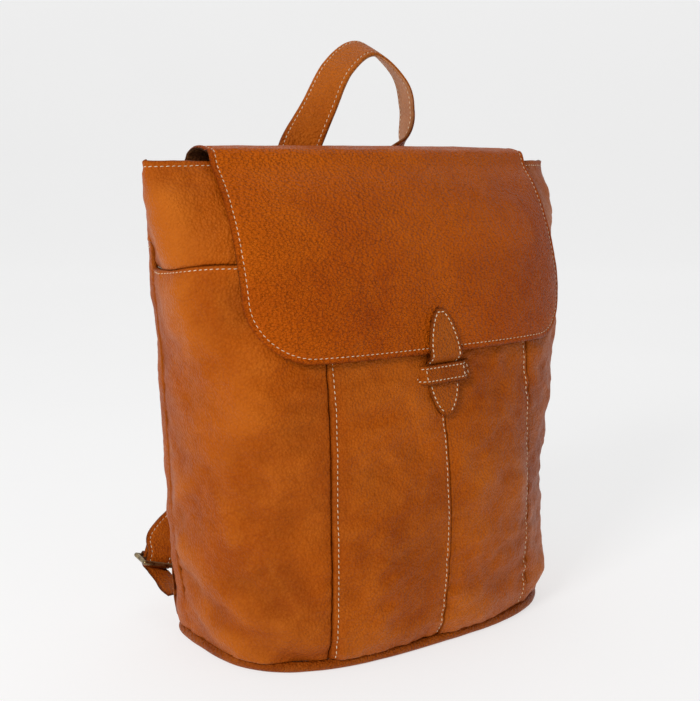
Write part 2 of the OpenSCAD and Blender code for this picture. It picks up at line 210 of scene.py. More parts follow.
def shell(name, outer, inner, slots, attributes, closed=False):
    """Closed sheet between two grids of points of the same size. slots are the outer and the inner face's."""
    rows, cols = outer.shape[:2]
    n = rows * cols
    sheet = grid_faces(rows, cols, closed)
    loops = [(np.arange(cols), closed), (n - cols + np.arange(cols), closed)]
    if not closed:
        loops += [(np.arange(rows) * cols, False), (np.arange(rows) * cols + cols - 1, False)]
    rim = []
    for line, joined in loops:
        nxt = np.roll(line, -1) if joined else line[1:]
        cur = line if joined else line[:-1]
        rim.append(np.stack([cur, nxt, nxt + n, cur + n], -1))
    rim = np.concatenate(rim)
    faces = np.concatenate([sheet, sheet[:, ::-1] + n, rim])
    face_slots = np.repeat([0, len(slots) - 1, 0], [len(sheet), len(sheet), len(rim)])
    doubled = {k: np.concatenate([v.ravel(), v.ravel()]) for k, v in attributes.items()}
    points = np.concatenate([outer.reshape(-1, 3), inner.reshape(-1, 3)])
    return new_object(name, points, faces.tolist(), slots, doubled, face_slots)


def grid_normals(p):
    """Unit normals of a grid of points, along the cross product of its rows' and columns' directions."""
    return unit(np.cross(np.gradient(p, axis=1), np.gradient(p, axis=0)))


def outward(normals, points):
    """The same normals, each turned to point away from the bag's upright axis."""
    return normals * np.where(np.sum(normals * (points * [1, 1, 0]), axis=-1, keepdims=True) < 0, -1, 1)


def facing(p, y_sign):
    """Normals of a grid of points, each turned towards y_sign along y."""
    n = grid_normals(p)
    return n * np.where(n[..., 1:2] * y_sign < 0, -1, 1)


def worn(edge, width, amount=1.0, pull_and_painted_light=0.0):
    """A piece's attributes: burnished within width of its edge, and lighter where it is pulled."""
    return {"edge": np.clip(1 - edge / width, 0, 1) * amount, "pull_and_painted_light": pull_and_painted_light + 0 * edge}


def place_on(obj, node, body="bag"):
    """The piece rides on a body and stands for one CAD node."""
    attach(obj, body)
    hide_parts(node)
    return obj


def stitches(name, runs, material, pitch=STITCH_PITCH, length=2.9, radius=0.31):
    """Sewn thread along runs: each is (points, normals) on a surface, about a millimetre apart."""
    rings, sides = [(-0.5, 0.25), (-0.36, 0.85), (0, 1.0), (0.36, 0.85), (0.5, 0.25)], 6
    turn = np.arange(sides) * 2 * math.pi / sides
    verts, faces = [], []
    for points, normals in runs:
        points, normals = np.asarray(points, float), unit(np.asarray(normals, float))
        along = arc_length(points)
        count = int(along[-1] / pitch)
        for k in range(count):
            at = (k + 0.5) * along[-1] / count
            here, ahead = [read_line(points, along, at + s) for s in (-0.6, 0.6)]
            n = unit(read_line(normals, along, at))
            t = unit(ahead - here)
            b = np.cross(n, t)
            t = unit(t + 0.12 * b)
            b = unit(np.cross(n, t))
            centre = (here + ahead) / 2
            base = len(verts) * len(rings) * sides
            ring = []
            around = np.cos(turn)[:, None] * b + np.sin(turn)[:, None] * n
            for s, w in rings:
                dip = 0.18 - 2.0 * s * s
                ring.append(centre + t * s * length + n * dip + around * radius * w)
            verts.append(np.concatenate(ring))
            quads = grid_faces(len(rings), sides, closed=True) + base
            faces.extend(quads.tolist())
            faces.append(list(range(base, base + sides)))
            faces.append(list(range(base + (len(rings) - 1) * sides, base + len(rings) * sides)))
    return new_object(name, np.concatenate(verts), faces, [material])


# ---------------------------------------------------------------- materials
class Nodes:
    """Short names for building a material's nodes."""

    def __init__(self, name):
        self.material = bpy.data.materials.new(name)
        self.material.use_nodes = True
        self.tree = self.material.node_tree
        self.shader = self.tree.nodes["Principled BSDF"]
        self.place = self.add("ShaderNodeTexCoord").outputs["Object"]

    def add(self, kind, inputs=None, **settings):
        node = self.tree.nodes.new(kind)
        for key, value in settings.items():
            setattr(node, key, value)
        for key, value in (inputs or {}).items():
            if isinstance(value, bpy.types.NodeSocket):
                self.tree.links.new(value, node.inputs[key])
            else:
                node.inputs[key].default_value = value
        return node

    def noise(self, scale, detail=3, roughness=0.55, vector=None, distortion=0.0):
        return self.add("ShaderNodeTexNoise", {
            "Vector": vector or self.place, "Scale": scale, "Detail": detail,
            "Roughness": roughness, "Distortion": distortion}).outputs["Fac"]

    def cells(self, scale, vector):
        return self.add("ShaderNodeTexVoronoi", {"Vector": vector, "Scale": scale}).outputs["Distance"]

    def stretch(self, scale):
        return self.add("ShaderNodeMapping", {"Vector": self.place, "Scale": scale}).outputs["Vector"]

    def attribute(self, name):
        return self.add("ShaderNodeAttribute", attribute_name=name).outputs["Fac"]

    def math(self, operation, a, b):
        return self.add("ShaderNodeMath", {0: a, 1: b}, operation=operation).outputs[0]

    def ramp(self, value, low, high, out_low=0.0, out_high=1.0):
        inputs = {"Value": value, "From Min": low, "From Max": high, "To Min": out_low, "To Max": out_high}
        return self.add("ShaderNodeMapRange", inputs).outputs["Result"]

    def mix(self, share, a, b):
        node = self.add("ShaderNodeMix", data_type="RGBA", blend_type="MIX")
        for socket, value in ((node.inputs[0], share), (node.inputs[6], a), (node.inputs[7], b)):
            if isinstance(value, bpy.types.NodeSocket):
                self.tree.links.new(value, socket)
            else:
                socket.default_value = value
        return node.outputs[2]

    def bump(self, height, strength, distance, normal=None):
        inputs = {"Height": height, "Strength": strength, "Distance": distance}
        if normal is not None:
            inputs["Normal"] = normal
        return self.add("ShaderNodeBump", inputs).outputs["Normal"]

    def set(self, **values):
        for key, value in values.items():
            socket = self.shader.inputs[key.replace("_", " ")]
            if isinstance(value, bpy.types.NodeSocket):
                self.tree.links.new(value, socket)
            else:
                socket.default_value = value
        return self.material


def rgb(r, g, b):
    return (r, g, b, 1.0)


def leather(name, light, mid, dark, grain, gloss, crease=1.0, stretch=(1, 1, 1)):
    """Vegetable-tanned leather: cloudy dye, pores, fine pebble, lighter pulled-up leather and darker burnished
    edges; the same two masks also carry painted highlights on raised parts and painted shade in hollows and
    grooves.
    """
    m = Nodes(name)
    place = m.stretch(stretch)
    cloud = m.noise(11, 4, 0.6, distortion=0.6)
    blotch = m.noise(34, 3, 0.6, distortion=0.4)
    fibre = m.noise(420, 2, 0.6, place)
    pebble = m.cells(520, vector=place)
    pebble_fine = m.cells(1150, vector=place)
    share = m.ramp(cloud, 0.32, 0.68, 0.05, 1.0)
    colour = m.mix(share, dark, mid)
    colour = m.mix(m.math("MULTIPLY", m.ramp(blotch, 0.45, 0.75), 0.40), colour, light)
    colour = m.mix(m.ramp(fibre, 0.35, 0.75, 0.0, 0.22), colour, light)
    pits = m.ramp(pebble, 0.25, 0.85, 0.0, 0.38)
    colour = m.mix(pits, colour, dark)
    # Darker burnished edges, plus painted shade in the hollows of the panels' relief and in the piping's
    # groove.
    burnish_and_shade = m.math("MULTIPLY", m.attribute("edge"), m.ramp(m.noise(160, 3), 0.3, 0.7, 0.45, 1.0))
    colour = m.mix(burnish_and_shade, colour, rgb(*[0.42 * c for c in dark[:3]]))
    # Lighter pulled-up leather, plus painted highlights on the panels' raised crowns and on the handle's top.
    colour = m.mix(m.math("MULTIPLY", m.attribute("pull_and_painted_light"), 0.6), colour, light)
    rough = m.ramp(m.noise(60, 4, 0.65), 0.3, 0.7, gloss - 0.06, gloss + 0.10)
    rough = m.math("ADD", rough, m.math("MULTIPLY", pits, 0.25))
    normal = m.bump(m.noise(75, 4, 0.62, distortion=0.7), 0.30 * crease, 0.0020)
    normal = m.bump(pebble, 0.85 * grain, 0.0011, normal)
    normal = m.bump(pebble_fine, 0.50 * grain, 0.0005, normal)
    return m.set(Base_Color=colour, Roughness=rough, Normal=normal, Specular_IOR_Level=0.24,
                 Specular_Tint=rgb(1.0, 0.52, 0.16))


def thread_material():
    m = Nodes("cream_thread")
    twist = m.add("ShaderNodeTexWave", {"Vector": m.place, "Scale": 900.0, "Distortion": 2.0}).outputs["Fac"]
    colour = m.mix(m.ramp(m.noise(300), 0.35, 0.65), rgb(0.60, 0.45, 0.28), rgb(0.80, 0.67, 0.48))
    rough = m.ramp(twist, 0, 1, 0.55, 0.75)
    return m.set(Base_Color=colour, Roughness=rough, Normal=m.bump(twist, 0.3, 0.0001))


def brass_material():
    m = Nodes("antique_brass")
    tarnish = m.ramp(m.noise(240, 5, 0.7), 0.35, 0.68)
    colour = m.mix(tarnish, rgb(0.10, 0.065, 0.03), rgb(0.44, 0.32, 0.15))
    rough = m.ramp(m.noise(420, 3), 0.3, 0.7, 0.26, 0.48)
    normal = m.bump(m.noise(500, 4), 0.12, 0.0003)
    return m.set(Base_Color=colour, Roughness=rough, Metallic=1.0, Normal=normal)


def weave_material(name, pale, deep, scale=1500.0):
    m = Nodes(name)
    warp = m.add("ShaderNodeTexWave", {"Vector": m.place, "Scale": scale / 6, "Distortion": 0.3},
                 bands_direction="X").outputs["Fac"]
    weft = m.add("ShaderNodeTexWave", {"Vector": m.place, "Scale": scale / 6, "Distortion": 0.3},
                 bands_direction="Z").outputs["Fac"]
    cross = m.math("MULTIPLY", warp, weft)
    colour = m.mix(m.ramp(m.noise(90, 4), 0.3, 0.7), deep, pale)
    colour = m.mix(m.math("MULTIPLY", cross, 0.3), colour, pale)
    return m.set(Base_Color=colour, Roughness=0.86, Normal=m.bump(cross, 0.35, 0.0002), Sheen_Weight=0.2)


def board_material():
    m = Nodes("stiff_board")
    fleck = m.ramp(m.noise(700, 4, 0.7), 0.4, 0.6)
    colour = m.mix(fleck, rgb(0.20, 0.15, 0.10), rgb(0.34, 0.27, 0.19))
    return m.set(Base_Color=colour, Roughness=0.9, Normal=m.bump(fleck, 0.2, 0.0002))


LIGHT, MID, DARK = rgb(0.56, 0.142, 0.012), rgb(0.390, 0.070, 0.001), rgb(0.215, 0.029, 0.0005)
body_leather = leather("body_leather", LIGHT, MID, DARK, grain=0.8, crease=1.1, gloss=0.40)
flap_leather = leather("flap_leather", rgb(0.58, 0.124, 0.003), rgb(0.435, 0.071, 0.0005),
                       rgb(0.270, 0.035, 0.0005), grain=1.5, crease=0.6, gloss=0.42,
                       stretch=(0.75, 0.75, 1.15))
trim_leather = leather("trim_leather", LIGHT, rgb(0.370, 0.074, 0.003), rgb(0.230, 0.036, 0.0015),
                       grain=1.3, gloss=0.42)
pale_leather = leather("pale_leather", rgb(0.55, 0.25, 0.12), rgb(0.42, 0.160, 0.060), rgb(0.30, 0.10, 0.030),
                       grain=0.6, gloss=0.5)
suede = leather("flesh_side", rgb(0.30, 0.13, 0.05), rgb(0.20, 0.075, 0.025), rgb(0.12, 0.040, 0.012),
                grain=0.5, gloss=0.72)
cream = thread_material()
brass = brass_material()
lining_cloth = weave_material("lining_cloth", rgb(0.50, 0.41, 0.30), rgb(0.36, 0.29, 0.20))
tape_cloth = weave_material("zip_tape", rgb(0.16, 0.075, 0.03), rgb(0.09, 0.042, 0.018), 2200.0)
board = board_material()


# ---------------------------------------------------------------- body sections
# Section angles of the left half, from the front centre to the back centre
SECTION = 2400
polar = -math.pi / 2 - np.linspace(0, math.pi, SECTION + 1)


class Section:
    """The body's left half at a list of heights: points from front centre to back centre, and arc lengths."""

    def __init__(self, heights, inset):
        z = np.asarray(heights, float)[:, None]
        c, s = np.abs(np.cos(polar))[None], np.abs(np.sin(polar))[None]
        front = np.sin(polar)[None] < 0
        w = half_width(z) - inset
        b = np.where(front, front_depth(z), back_depth(z)) - inset
        n = np.where(front, front_power(z), back_power(z))
        r = ((c / w) ** n + (s / b) ** n) ** (-1 / n)
        self.z = z[:, 0]
        self.x, self.y = r * np.cos(polar), r * np.sin(polar)
        step = np.hypot(np.diff(self.x, axis=1), np.diff(self.y, axis=1))
        self.s = np.concatenate([np.zeros((len(z), 1)), np.cumsum(step, axis=1)], axis=1)
        quarter = SECTION // 2
        # Section angle of the side seam, which lies further forward near the base
        seam = np.where(self.z < 60, 178 - 6 * self.z / 60, 172.0)
        side_y = (back_depth(self.z) - inset) * np.sin(np.radians(seam)) ** (2 / back_power(self.z))
        front_rows = zip(-self.x[:, :quarter], self.s[:, :quarter])
        back_rows = zip(side_y, self.y[:, quarter:], self.s[:, quarter:])
        self.front_seam = np.array([np.interp(SEAM_X, x, s) for x, s in front_rows])
        self.side_seam = np.array([np.interp(at, y, s) for at, y, s in back_rows])
        self.end = self.s[:, -1]

    def at(self, s):
        """Points of the section at arc lengths s, one row of them for each height."""
        x, y = [np.stack([np.interp(*row) for row in zip(s, self.s, grid)]) for grid in (self.x, self.y)]
        return np.stack([x, y, np.broadcast_to(self.z[:, None], x.shape)], -1)


def face_y(depth, power, x, z):
    """Depth of the body's front or back face at a distance x from the centre."""
    n = power(z)
    return depth(z) * (1 - np.minimum(np.abs(x) / half_width(z), 0.995) ** n) ** (1 / n)


def front_y(x, z):
    return -face_y(front_depth, front_power, x, z)


def back_y(x, z):
    return face_y(back_depth, back_power, x, z)


def edge_roll(d, radius=1.9):
    """How far a turned leather edge drops at a distance d inside it."""
    return radius - np.sqrt(np.maximum(radius**2 - np.maximum(radius - d, 0) ** 2, 0))


def body_relief(s, z, seed):
    """Slow slumps and wrinkles of the body's leather, in mm outward, by arc length from the front centre."""
    low = 3.6 * rough_noise(s / 84, z / 70, seed) + 2.6 * rough_noise(s / 30, z / 20, seed + 9)
    fine = 0.60 * rough_noise(s / 10, z / 6, seed + 20)
    corner = 8.5 * bell(np.abs(s) - 202, 20) * ease((z - 205) / 95) * ease((BODY_TOP - 2 - z) / 34)
    hollow = -5.0 * bell(np.abs(s) - 292, 26) * bell(z - 124, 28)
    return low + fine + corner + hollow


def seam_rise(s, z):
    """How far the lapped seam under the band runs up between the side seam and the front corner."""
    reach = np.where(z < BAND_Z, ease((z - 190) / (BAND_Z - 190)), ease((BODY_TOP - 22 - z) / 48))
    return (1.5 + 6.0 * ease((232 - np.abs(s)) / 70)) * reach


def gap_close(x, z):
    """How far the back's leather above and below the zip closes up beyond the zip's two ends."""
    near = ease((np.abs(x) - 141) / 9) * ease(1 - np.abs(z - ZIP_Z) / 30)
    return near * np.sign(ZIP_Z - z) * ZIP_GAP / 2 * 1.25 * (np.abs(z - ZIP_Z) > 5)


class Panel:
    """A leather panel of the body between two lines of arc length, with its displaced surface."""

    STEP = 2.0

    def __init__(self, name, node, z0, z1, line_a, line_b, mirror, inset, seed, relief):
        self.z = z0 + spread(z1 - z0, self.STEP)
        section = Section(self.z, inset)
        a, b = line_a(section), line_b(section)
        width = float(np.mean(b - a))
        f = spread(width, self.STEP) / width
        self.s = a[:, None] + f[None, :] * (b - a)[:, None]
        turn = section.end[:, None]
        over = self.s > turn
        base = section.at(np.where(over, 2 * turn - self.s, np.abs(self.s)))
        base[..., 0] *= np.where((self.s < 0) | over, -1, 1)
        zz = np.broadcast_to(self.z[:, None], self.s.shape)
        base[..., 2] += gap_close(base[..., 0], zz) if over.any() else seam_rise(self.s, zz)
        out = outward(grid_normals(base), base)
        to_a, to_b = self.s - a[:, None], b[:, None] - self.s
        to_bottom, to_top = zz - z0, z1 - zz
        reach = np.maximum(np.minimum(np.minimum(to_a, to_b), np.minimum(to_bottom, to_top)), 0)
        d, pull_and_painted_light = relief(self.s, zz, to_a, to_b, to_bottom, to_top, seed)
        d = d - edge_roll(reach)
        self.points = base + out * d[..., None]
        inner = self.points - out * LEATHER
        if mirror:
            self.points[..., 0] *= -1
            inner[..., 0] *= -1
        self.normals = outward(grid_normals(self.points), self.points)
        # Painted shade in the relief's hollows, added to the burnished rim, and a painted highlight on its
        # raised crowns, added to the pulled-up leather.
        hollow = np.clip((0.4 - d) / 4.0, 0, 1)
        painted_crown_highlight = np.clip((d - 1.0) / 5.0, 0, 1)
        attributes = {"edge": np.maximum(np.clip(1 - reach / 1.8, 0, 1) * 0.9, 0.42 * hollow),
                      "pull_and_painted_light": np.clip(0.6 * pull_and_painted_light + 0.7 * painted_crown_highlight, 0, 1)}
        place_on(shell(name, self.points, inner, [body_leather, suede], attributes), node)

    def line(self, heights, distance_s):
        """Points and normals on the surface, at heights and arc lengths (same number of each)."""
        row = index_of(heights, self.z)
        out = []
        for grid in (self.points, self.normals):
            picked = []
            for r, s in zip(row, distance_s):
                i = min(int(r), len(self.z) - 2)
                pair = [read_line(grid[k], self.s[k], s) for k in (i, i + 1)]
                picked.append(pair[0] + (pair[1] - pair[0]) * (r - i))
            out.append(np.array(picked))
        return out

    def upright(self, from_z, to_z, distance, edge):
        """A run of thread along upright edge a or b, at a distance from it."""
        heights = np.arange(from_z, to_z, 1.0)
        column, sign = (-1, -1) if edge == "b" else (0, 1)
        return self.line(heights, np.interp(heights, self.z, self.s[:, column]) + sign * distance)

    def level(self, z):
        """A run of thread round the panel at one height, just short of its two sides."""
        row = self.s[int(index_of(z, self.z))]
        s = np.arange(row[0] + 2.5, row[-1] - 2.5, 1.0)
        return self.line(np.full(len(s), z), s)


def puckers(along, across, seed, length=5.0, depth=15.0):
    """Short creases that leave a seam at right angles."""
    wave = noise(along / length, across / 30, seed)
    wave = wave + 0.5 * noise(along / (length * 0.55), across / 22, seed + 3)
    share = 0.55 + 0.45 * noise(along / 60, 0 * along, seed + 5)
    return share * wave * np.exp(-np.maximum(across, 0) / depth)


def lower_relief(s, z, to_a, to_b, to_bottom, to_top, seed):
    """Leather of the lower panels: puffed between seams, puckered beside them, slumping above the base."""
    d = body_relief(s, z, seed)
    damp = (1 - np.exp(-np.maximum(np.minimum(to_a, to_b), 0) / 10)) * (1 - np.exp(-to_top / 12))
    d = d * damp - 2.3 * np.exp(-to_a / 8) - 2.3 * np.exp(-to_b / 8) + 1.1
    d = d - 1.6 * np.exp(-to_bottom / 5) + 2.2 * bell(to_bottom - 16, 14)
    low_down = 0.8 + 0.9 * ease((150 - z) / 90)
    beside = puckers(z, to_a, seed + 31, 7.0, 24.0) + puckers(z, to_b, seed + 37, 7.0, 24.0)
    d = d + 1.2 * low_down * beside
    d = d + 1.5 * puckers(s, to_top, seed + 41, 9.0, 38.0) + 0.8 * puckers(s, to_bottom, seed + 43, 8.0, 20.0)
    pull_and_painted_light = 0.5 + 0.5 * noise(s / 60, z / 45, seed + 51)
    return d, 0.5 * pull_and_painted_light


def front_relief(s, z, to_a, to_b, to_bottom, to_top, seed):
    d, pull_and_painted_light = lower_relief(s, z, to_a, to_b, to_bottom, to_top, seed)
    d = d + 0.8 * bell(to_b - 2.2, 2.0) - 0.35 * bell(to_b - FRONT_SEAM, 0.9)
    d = d + 0.9 * np.exp(-to_a / 4) - 0.35 * bell(to_a - 3.2, 0.9)
    d = d - 1.2 * bell(s - 40 - 0.12 * z, 16) * ease((z - 60) / 60) * ease((235 - z) / 60)
    return np.maximum(d, -3.4), pull_and_painted_light


def side_relief(s, z, to_a, to_b, to_bottom, to_top, seed):
    d, pull_and_painted_light = lower_relief(s, z, to_a, to_b, to_bottom, to_top, seed)
    wave = noise(s / 40 + z / 26, z / 46 - s / 80, seed + 61)
    d = d + 1.2 * wave * ease((to_top - 4) / 20) * ease((120 - to_top) / 60)
    valley = z - 30 - 0.40 * (s - 170)
    crease = z - 84 + 0.70 * (s - 262)
    inside = ease(to_a / 36) * ease(to_b / 18)
    d = d + inside * (3.6 * bell(valley - 20, 12) - 2.6 * bell(valley, 8) + 1.4 * bell(valley + 15, 9))
    d = d + inside * (2.8 * bell(crease - 17, 10) - 2.2 * bell(crease, 8)) * ease((s - 190) / 40)
    d = d + 0.55 * bell(to_b - 2.0, 1.6) - 0.3 * bell(to_b - 3.6, 0.8)
    d = d + 0.7 * np.exp(-to_top / 3.0) - 0.4 * bell(to_top - 2.4, 0.9)
    return np.maximum(d, -3.4), pull_and_painted_light


def band_relief(s, z, to_a, to_b, to_bottom, to_top, seed):
    to_side = np.minimum(to_a, to_b)
    d = 0.8 * body_relief(s, z, seed) + 1.5 * bell(to_bottom - 8, 30)
    d = d + 1.6 * noise(s / 26 + z / 60, z / 50 - s / 90, seed + 61)
    d = d - 0.9 * np.exp(-to_side / 6) - 1.1 * np.exp(-to_bottom / 4) + 0.4 * bell(to_side - 2.0, 1.6)
    d = d + 0.35 * puckers(s, to_bottom, seed + 41, 7.0, 18.0)
    d = d + turned_edge(to_top, 0.45, RIM_SEAM)
    return d, 0.4 + 0.4 * noise(s / 50, z / 40, seed + 51)


def turned_edge(d, height, groove):
    """Leather turned over an edge at a distance d: a soft lift, and a sewn groove at its own distance."""
    return height * np.exp(-d / 4) - 0.4 * bell(d - groove, 0.9)


def over_pocket(d, s, z, seed):
    """The back's leather stays clear of the pocket cloth behind it."""
    return np.maximum(d, -1.4), 0.3 + 0.4 * noise(s / 60, z / 45, seed + 51)


def back_relief(s, z, to_a, to_b, to_bottom, to_top, seed):
    to_side = np.minimum(to_a, to_b)
    d = 0.7 * body_relief(s, z, seed) * (1 - np.exp(-to_side / 10))
    d = d - 1.2 * np.exp(-to_side / 7) + 0.5 - 1.3 * np.exp(-to_bottom / 5) + 1.0 * bell(to_bottom - 15, 13)
    d = d + 0.35 * puckers(z, to_side, seed + 37) + 0.25 * puckers(s, to_top, seed + 41, 8.0, 16.0)
    return over_pocket(d + turned_edge(to_top, 0.5, ZIP_SEAM), s, z, seed)


def yoke_relief(s, z, to_a, to_b, to_bottom, to_top, seed):
    to_side = np.minimum(to_a, to_b)
    d = 0.5 * body_relief(s, z, seed) * (1 - np.exp(-to_side / 10)) - 0.9 * np.exp(-to_side / 6)
    d = d + turned_edge(to_bottom, 0.5, ZIP_SEAM) + turned_edge(to_top, 0.45, RIM_SEAM)
    return over_pocket(d, s, z, seed)


centre_line = lambda k: 0 * k.end
front_line = lambda k: k.front_seam
side_line = lambda k: k.side_seam
far_side_line = lambda k: 2 * k.end - k.side_seam
fronts, sides = [], []
for side, mirror, seed in (("left", False, 11), ("right", True, 211)):
    fronts.append(Panel("front_" + side, "front_panel_" + side, PANEL_FOOT, BAND_Z, centre_line, front_line,
                        mirror, 0.0, seed, front_relief))
    sides.append(Panel("side_" + side, "side_panel_" + side, PANEL_FOOT, BAND_Z, front_line, side_line,
                       mirror, 0.0, seed + 70, side_relief))
band = Panel("band", "front_band", BAND_Z - 0.4, BODY_TOP, lambda k: -k.side_seam, side_line, False, 1.3, 401,
             band_relief)
back = Panel("back", "back_panel", PANEL_FOOT, ZIP_LOW, side_line, far_side_line, False, 0.0, 431,
             back_relief)
yoke = Panel("yoke", "back_yoke", ZIP_HIGH, BODY_TOP, side_line, far_side_line, False, 0.2, 461,
             yoke_relief)


# ---------------------------------------------------------------- thread on the body
def sew(name, runs, body, *gauge, material=None):
    """Thread along runs, riding on a body. gauge is its pitch, stitch length and radius, if not the usual."""
    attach(stitches(name, runs, material or cream, *gauge), body)


seam_runs = [panel.upright(10, 288, FRONT_SEAM, "b") for panel in fronts]
seam_runs += [fronts[0].upright(10, 288, CENTRE_SEAM, "a")]
seam_runs += [panel.level(BAND_Z - LAP_SEAM) for panel in (*sides, *fronts)]
seam_runs += [panel.level(BODY_TOP - RIM_SEAM) for panel in (band, yoke)]
seam_runs += [yoke.level(ZIP_HIGH + ZIP_SEAM), back.level(ZIP_LOW - ZIP_SEAM)]
sew("thread_body", seam_runs, "bag")


# ---------------------------------------------------------------- pieces that lie on the body's section
def wall(t, z, inset=0.0):
    """Point of the body at the CAD's section angle t in degrees and height z. 270 is the front."""
    t, z = np.broadcast_arrays(np.radians(np.asarray(t, float)), np.asarray(z, float))
    c, s = np.cos(t), np.sin(t)
    w = half_width(z) - inset
    b = np.where(s < 0, front_depth(z), back_depth(z)) - inset
    n = np.where(s < 0, front_power(z), back_power(z))
    return np.stack([w * np.sign(c) * np.abs(c) ** (2 / n), b * np.sign(s) * np.abs(s) ** (2 / n), z], -1)


def ring_line(inset, z, count=720):
    """The whole section at one height as evenly spaced points, from the front centre going left."""
    section = Section([z], inset)
    half = section.at(np.linspace(0, section.end[0], count // 2 + 1)[None])[0]
    other = half[-2:0:-1] * [-1, 1, 1]
    return np.concatenate([half, other])


def wall_patch(name, t0, t1, z0, z1, inset, thick, slots, node, amount, seed, step=3.0):
    """Sheet on the body's wall between two section angles, with rounded edges and a few slack folds."""
    z = z0 + spread(z1 - z0, step, 2.0)
    ends = [wall(t, (z0 + z1) / 2, inset) for t in (t0, t1)]
    span = abs(ends[1][0] - ends[0][0])
    x = ends[0][0] + spread(span, step, 2.0) * np.sign(ends[1][0] - ends[0][0])
    xx, zz = np.meshgrid(x, z)
    face = 1 if t0 < 180 else -1
    depth = back_y(xx, zz) if face > 0 else -front_y(xx, zz)
    base = np.stack([xx, face * (depth - inset), zz], -1)
    n = facing(base, -face)
    edge = np.minimum(np.minimum(xx - xx.min(), xx.max() - xx), np.minimum(zz - z0, z1 - zz))
    bulge = amount * (1 + rough_noise(xx / 40, zz / 30, seed)) * ease(edge / 30)
    roll = edge_roll(np.maximum(edge, 0), thick / 2)
    near = base + n * (bulge - roll)[..., None]
    far = base - n * (thick - roll)[..., None]
    obj = shell(name, near, far, slots, {"edge": 0.5 * (edge < 1.0), "pull_and_painted_light": 0 * edge})
    return place_on(obj, node), near, -n


def disc(name, inset, z, thick, slots, node, sag, seed=3):
    """Flat piece that fills the section, with a rounded rim."""
    ring = ring_line(inset, 0.0)
    share = np.concatenate([np.linspace(0.02, 0.97, 34), [0.985, 0.995, 1.0]])
    base = ring[None] * share[:, None, None] * [1, 1, 0]
    rim = (1 - share)[:, None] * 110 + 0 * base[..., 0]
    wave = 0.35 * rough_noise(base[..., 0] / 45, base[..., 1] / 40, seed) * ease(rim / 20)
    roll = edge_roll(rim, thick / 2)
    top = base + np.stack([0 * rim, 0 * rim, z + thick - roll + sag * (1 - share[:, None] ** 2) + wave], -1)
    low = base + np.stack([0 * rim, 0 * rim, z + roll + sag * (1 - share[:, None] ** 2)], -1)
    obj = shell(name, top, low, slots, worn(rim, 3, 0.6), closed=True)
    return place_on(obj, node)


def piping():
    """Rolled leather round the base: a tube with a join ridge, slightly uneven."""
    line = ring_line(2.0, 4.0)
    tangent = unit(np.roll(line, -1, 0) - np.roll(line, 1, 0))
    out = unit(np.cross(tangent, [0, 0, 1.0]))
    out *= np.where(np.sum(out * line, -1, keepdims=True) < 0, -1, 1)
    along = np.arange(len(line)) * 1.3
    turn = np.arange(24) * 2 * math.pi / 24
    radius = 3.9 + 0.16 * noise(along[:, None] / 16, 2 + np.cos(turn)[None] * 1.5, 71)
    radius = radius - 0.5 * bell(turn[None] - 2.1, 0.22)
    rings = line[:, None] + radius[..., None] * (
        np.cos(turn)[None, :, None] * out[:, None] + np.sin(turn)[None, :, None] * np.array([0, 0, 1.0]))
    rings[..., 2] += 0.2
    grid = np.swapaxes(rings, 0, 1)
    grid = np.concatenate([grid, grid[:1]])
    faces = grid_faces(len(grid), len(line), closed=True).tolist()
    # Painted shade: darker in the groove where the piping tucks against the wall, on top of a slight darkening
    # all round.
    edge = np.broadcast_to(0.25 + 0.5 * bell(np.concatenate([turn, [0]]) - 2.1, 0.5)[:, None], grid.shape[:2])
    look = {"edge": edge, "pull_and_painted_light": 0 * edge}
    obj = new_object("piping", grid.reshape(-1, 3), faces, [trim_leather], look)
    clean(obj.data, weld=1e-6)
    place_on(obj, "base_piping")


def liner(name, inset, z0, z1, thick, slots, node, amount, seed):
    """Sewn tube of cloth or leather inside the body."""
    z = z0 + spread(z1 - z0, 4.0, 3.0, 1.0)
    rings = np.stack([ring_line(inset, h, 480) for h in z])
    n = outward(grid_normals(rings), rings)
    edge = np.minimum(z - z0, z1 - z)[:, None] + 0 * rings[..., 0]
    s = np.arange(480)[None] * 1.9 + 0 * edge
    slack = amount * (rough_noise(s / 40, z[:, None] / 34, seed) + 0.6) * ease(edge / 30)
    inner = rings - n * (slack + thick - edge_roll(edge, thick / 2))[..., None]
    outer = rings - n * edge_roll(edge, thick / 2)[..., None]
    obj = shell(name, inner, outer, slots, worn(edge, 2, 0.6), closed=True)
    return place_on(obj, node), inner, -n


piping()
disc("base_leather", 6.5, 0.3, 2.6, [trim_leather], "base_panel", sag=0.6)
base_cloth = disc("base_lining", 8.0, 6.2, 0.8, [lining_cloth], "lining_base", sag=0.8, seed=8)
base_ring = ring_line(8.0, 0.0)
liner("facing", 3.6, BODY_TOP - 24, BODY_TOP - 0.4, 1.3, [trim_leather], "rim_facing", 0.1, 95)
lining = liner("lining", 4.4, 8.6, BODY_TOP - 24.5, 0.7, [lining_cloth], "lining_wall", 1.3, 91)
for name, t0, t1, z0, z1, inset, thick, cloth, node, slack, seed in (
        ("inner_pocket_cloth", 66, 114, 160, 282, 6.6, 1.4, lining_cloth, "inner_pocket", 1.2, 15),
        ("slip_pocket_cloth", 240, 300, 110, 225, 6.6, 1.2, lining_cloth, "slip_pocket", 1.6, 25),
        ("back_pocket_cloth", 62, 118, 130, ZIP_LOW - 1, 2.6, 1.0, lining_cloth, "back_pocket_bag", 0.0, 35),
        ("zip_tape_cloth", 14, 166, ZIP_Z - 5.8, ZIP_Z + 5.8, 2.7, 0.9, tape_cloth, "zip_tapes", 0.0, 45),
        ("inner_zip_tape", 68, 112, 283, 295, 6.9, 1.0, tape_cloth, "inner_zip", 0.0, 55)):
    wall_patch(name, t0, t1, z0, z1, inset, thick, [cloth], node, slack, seed)


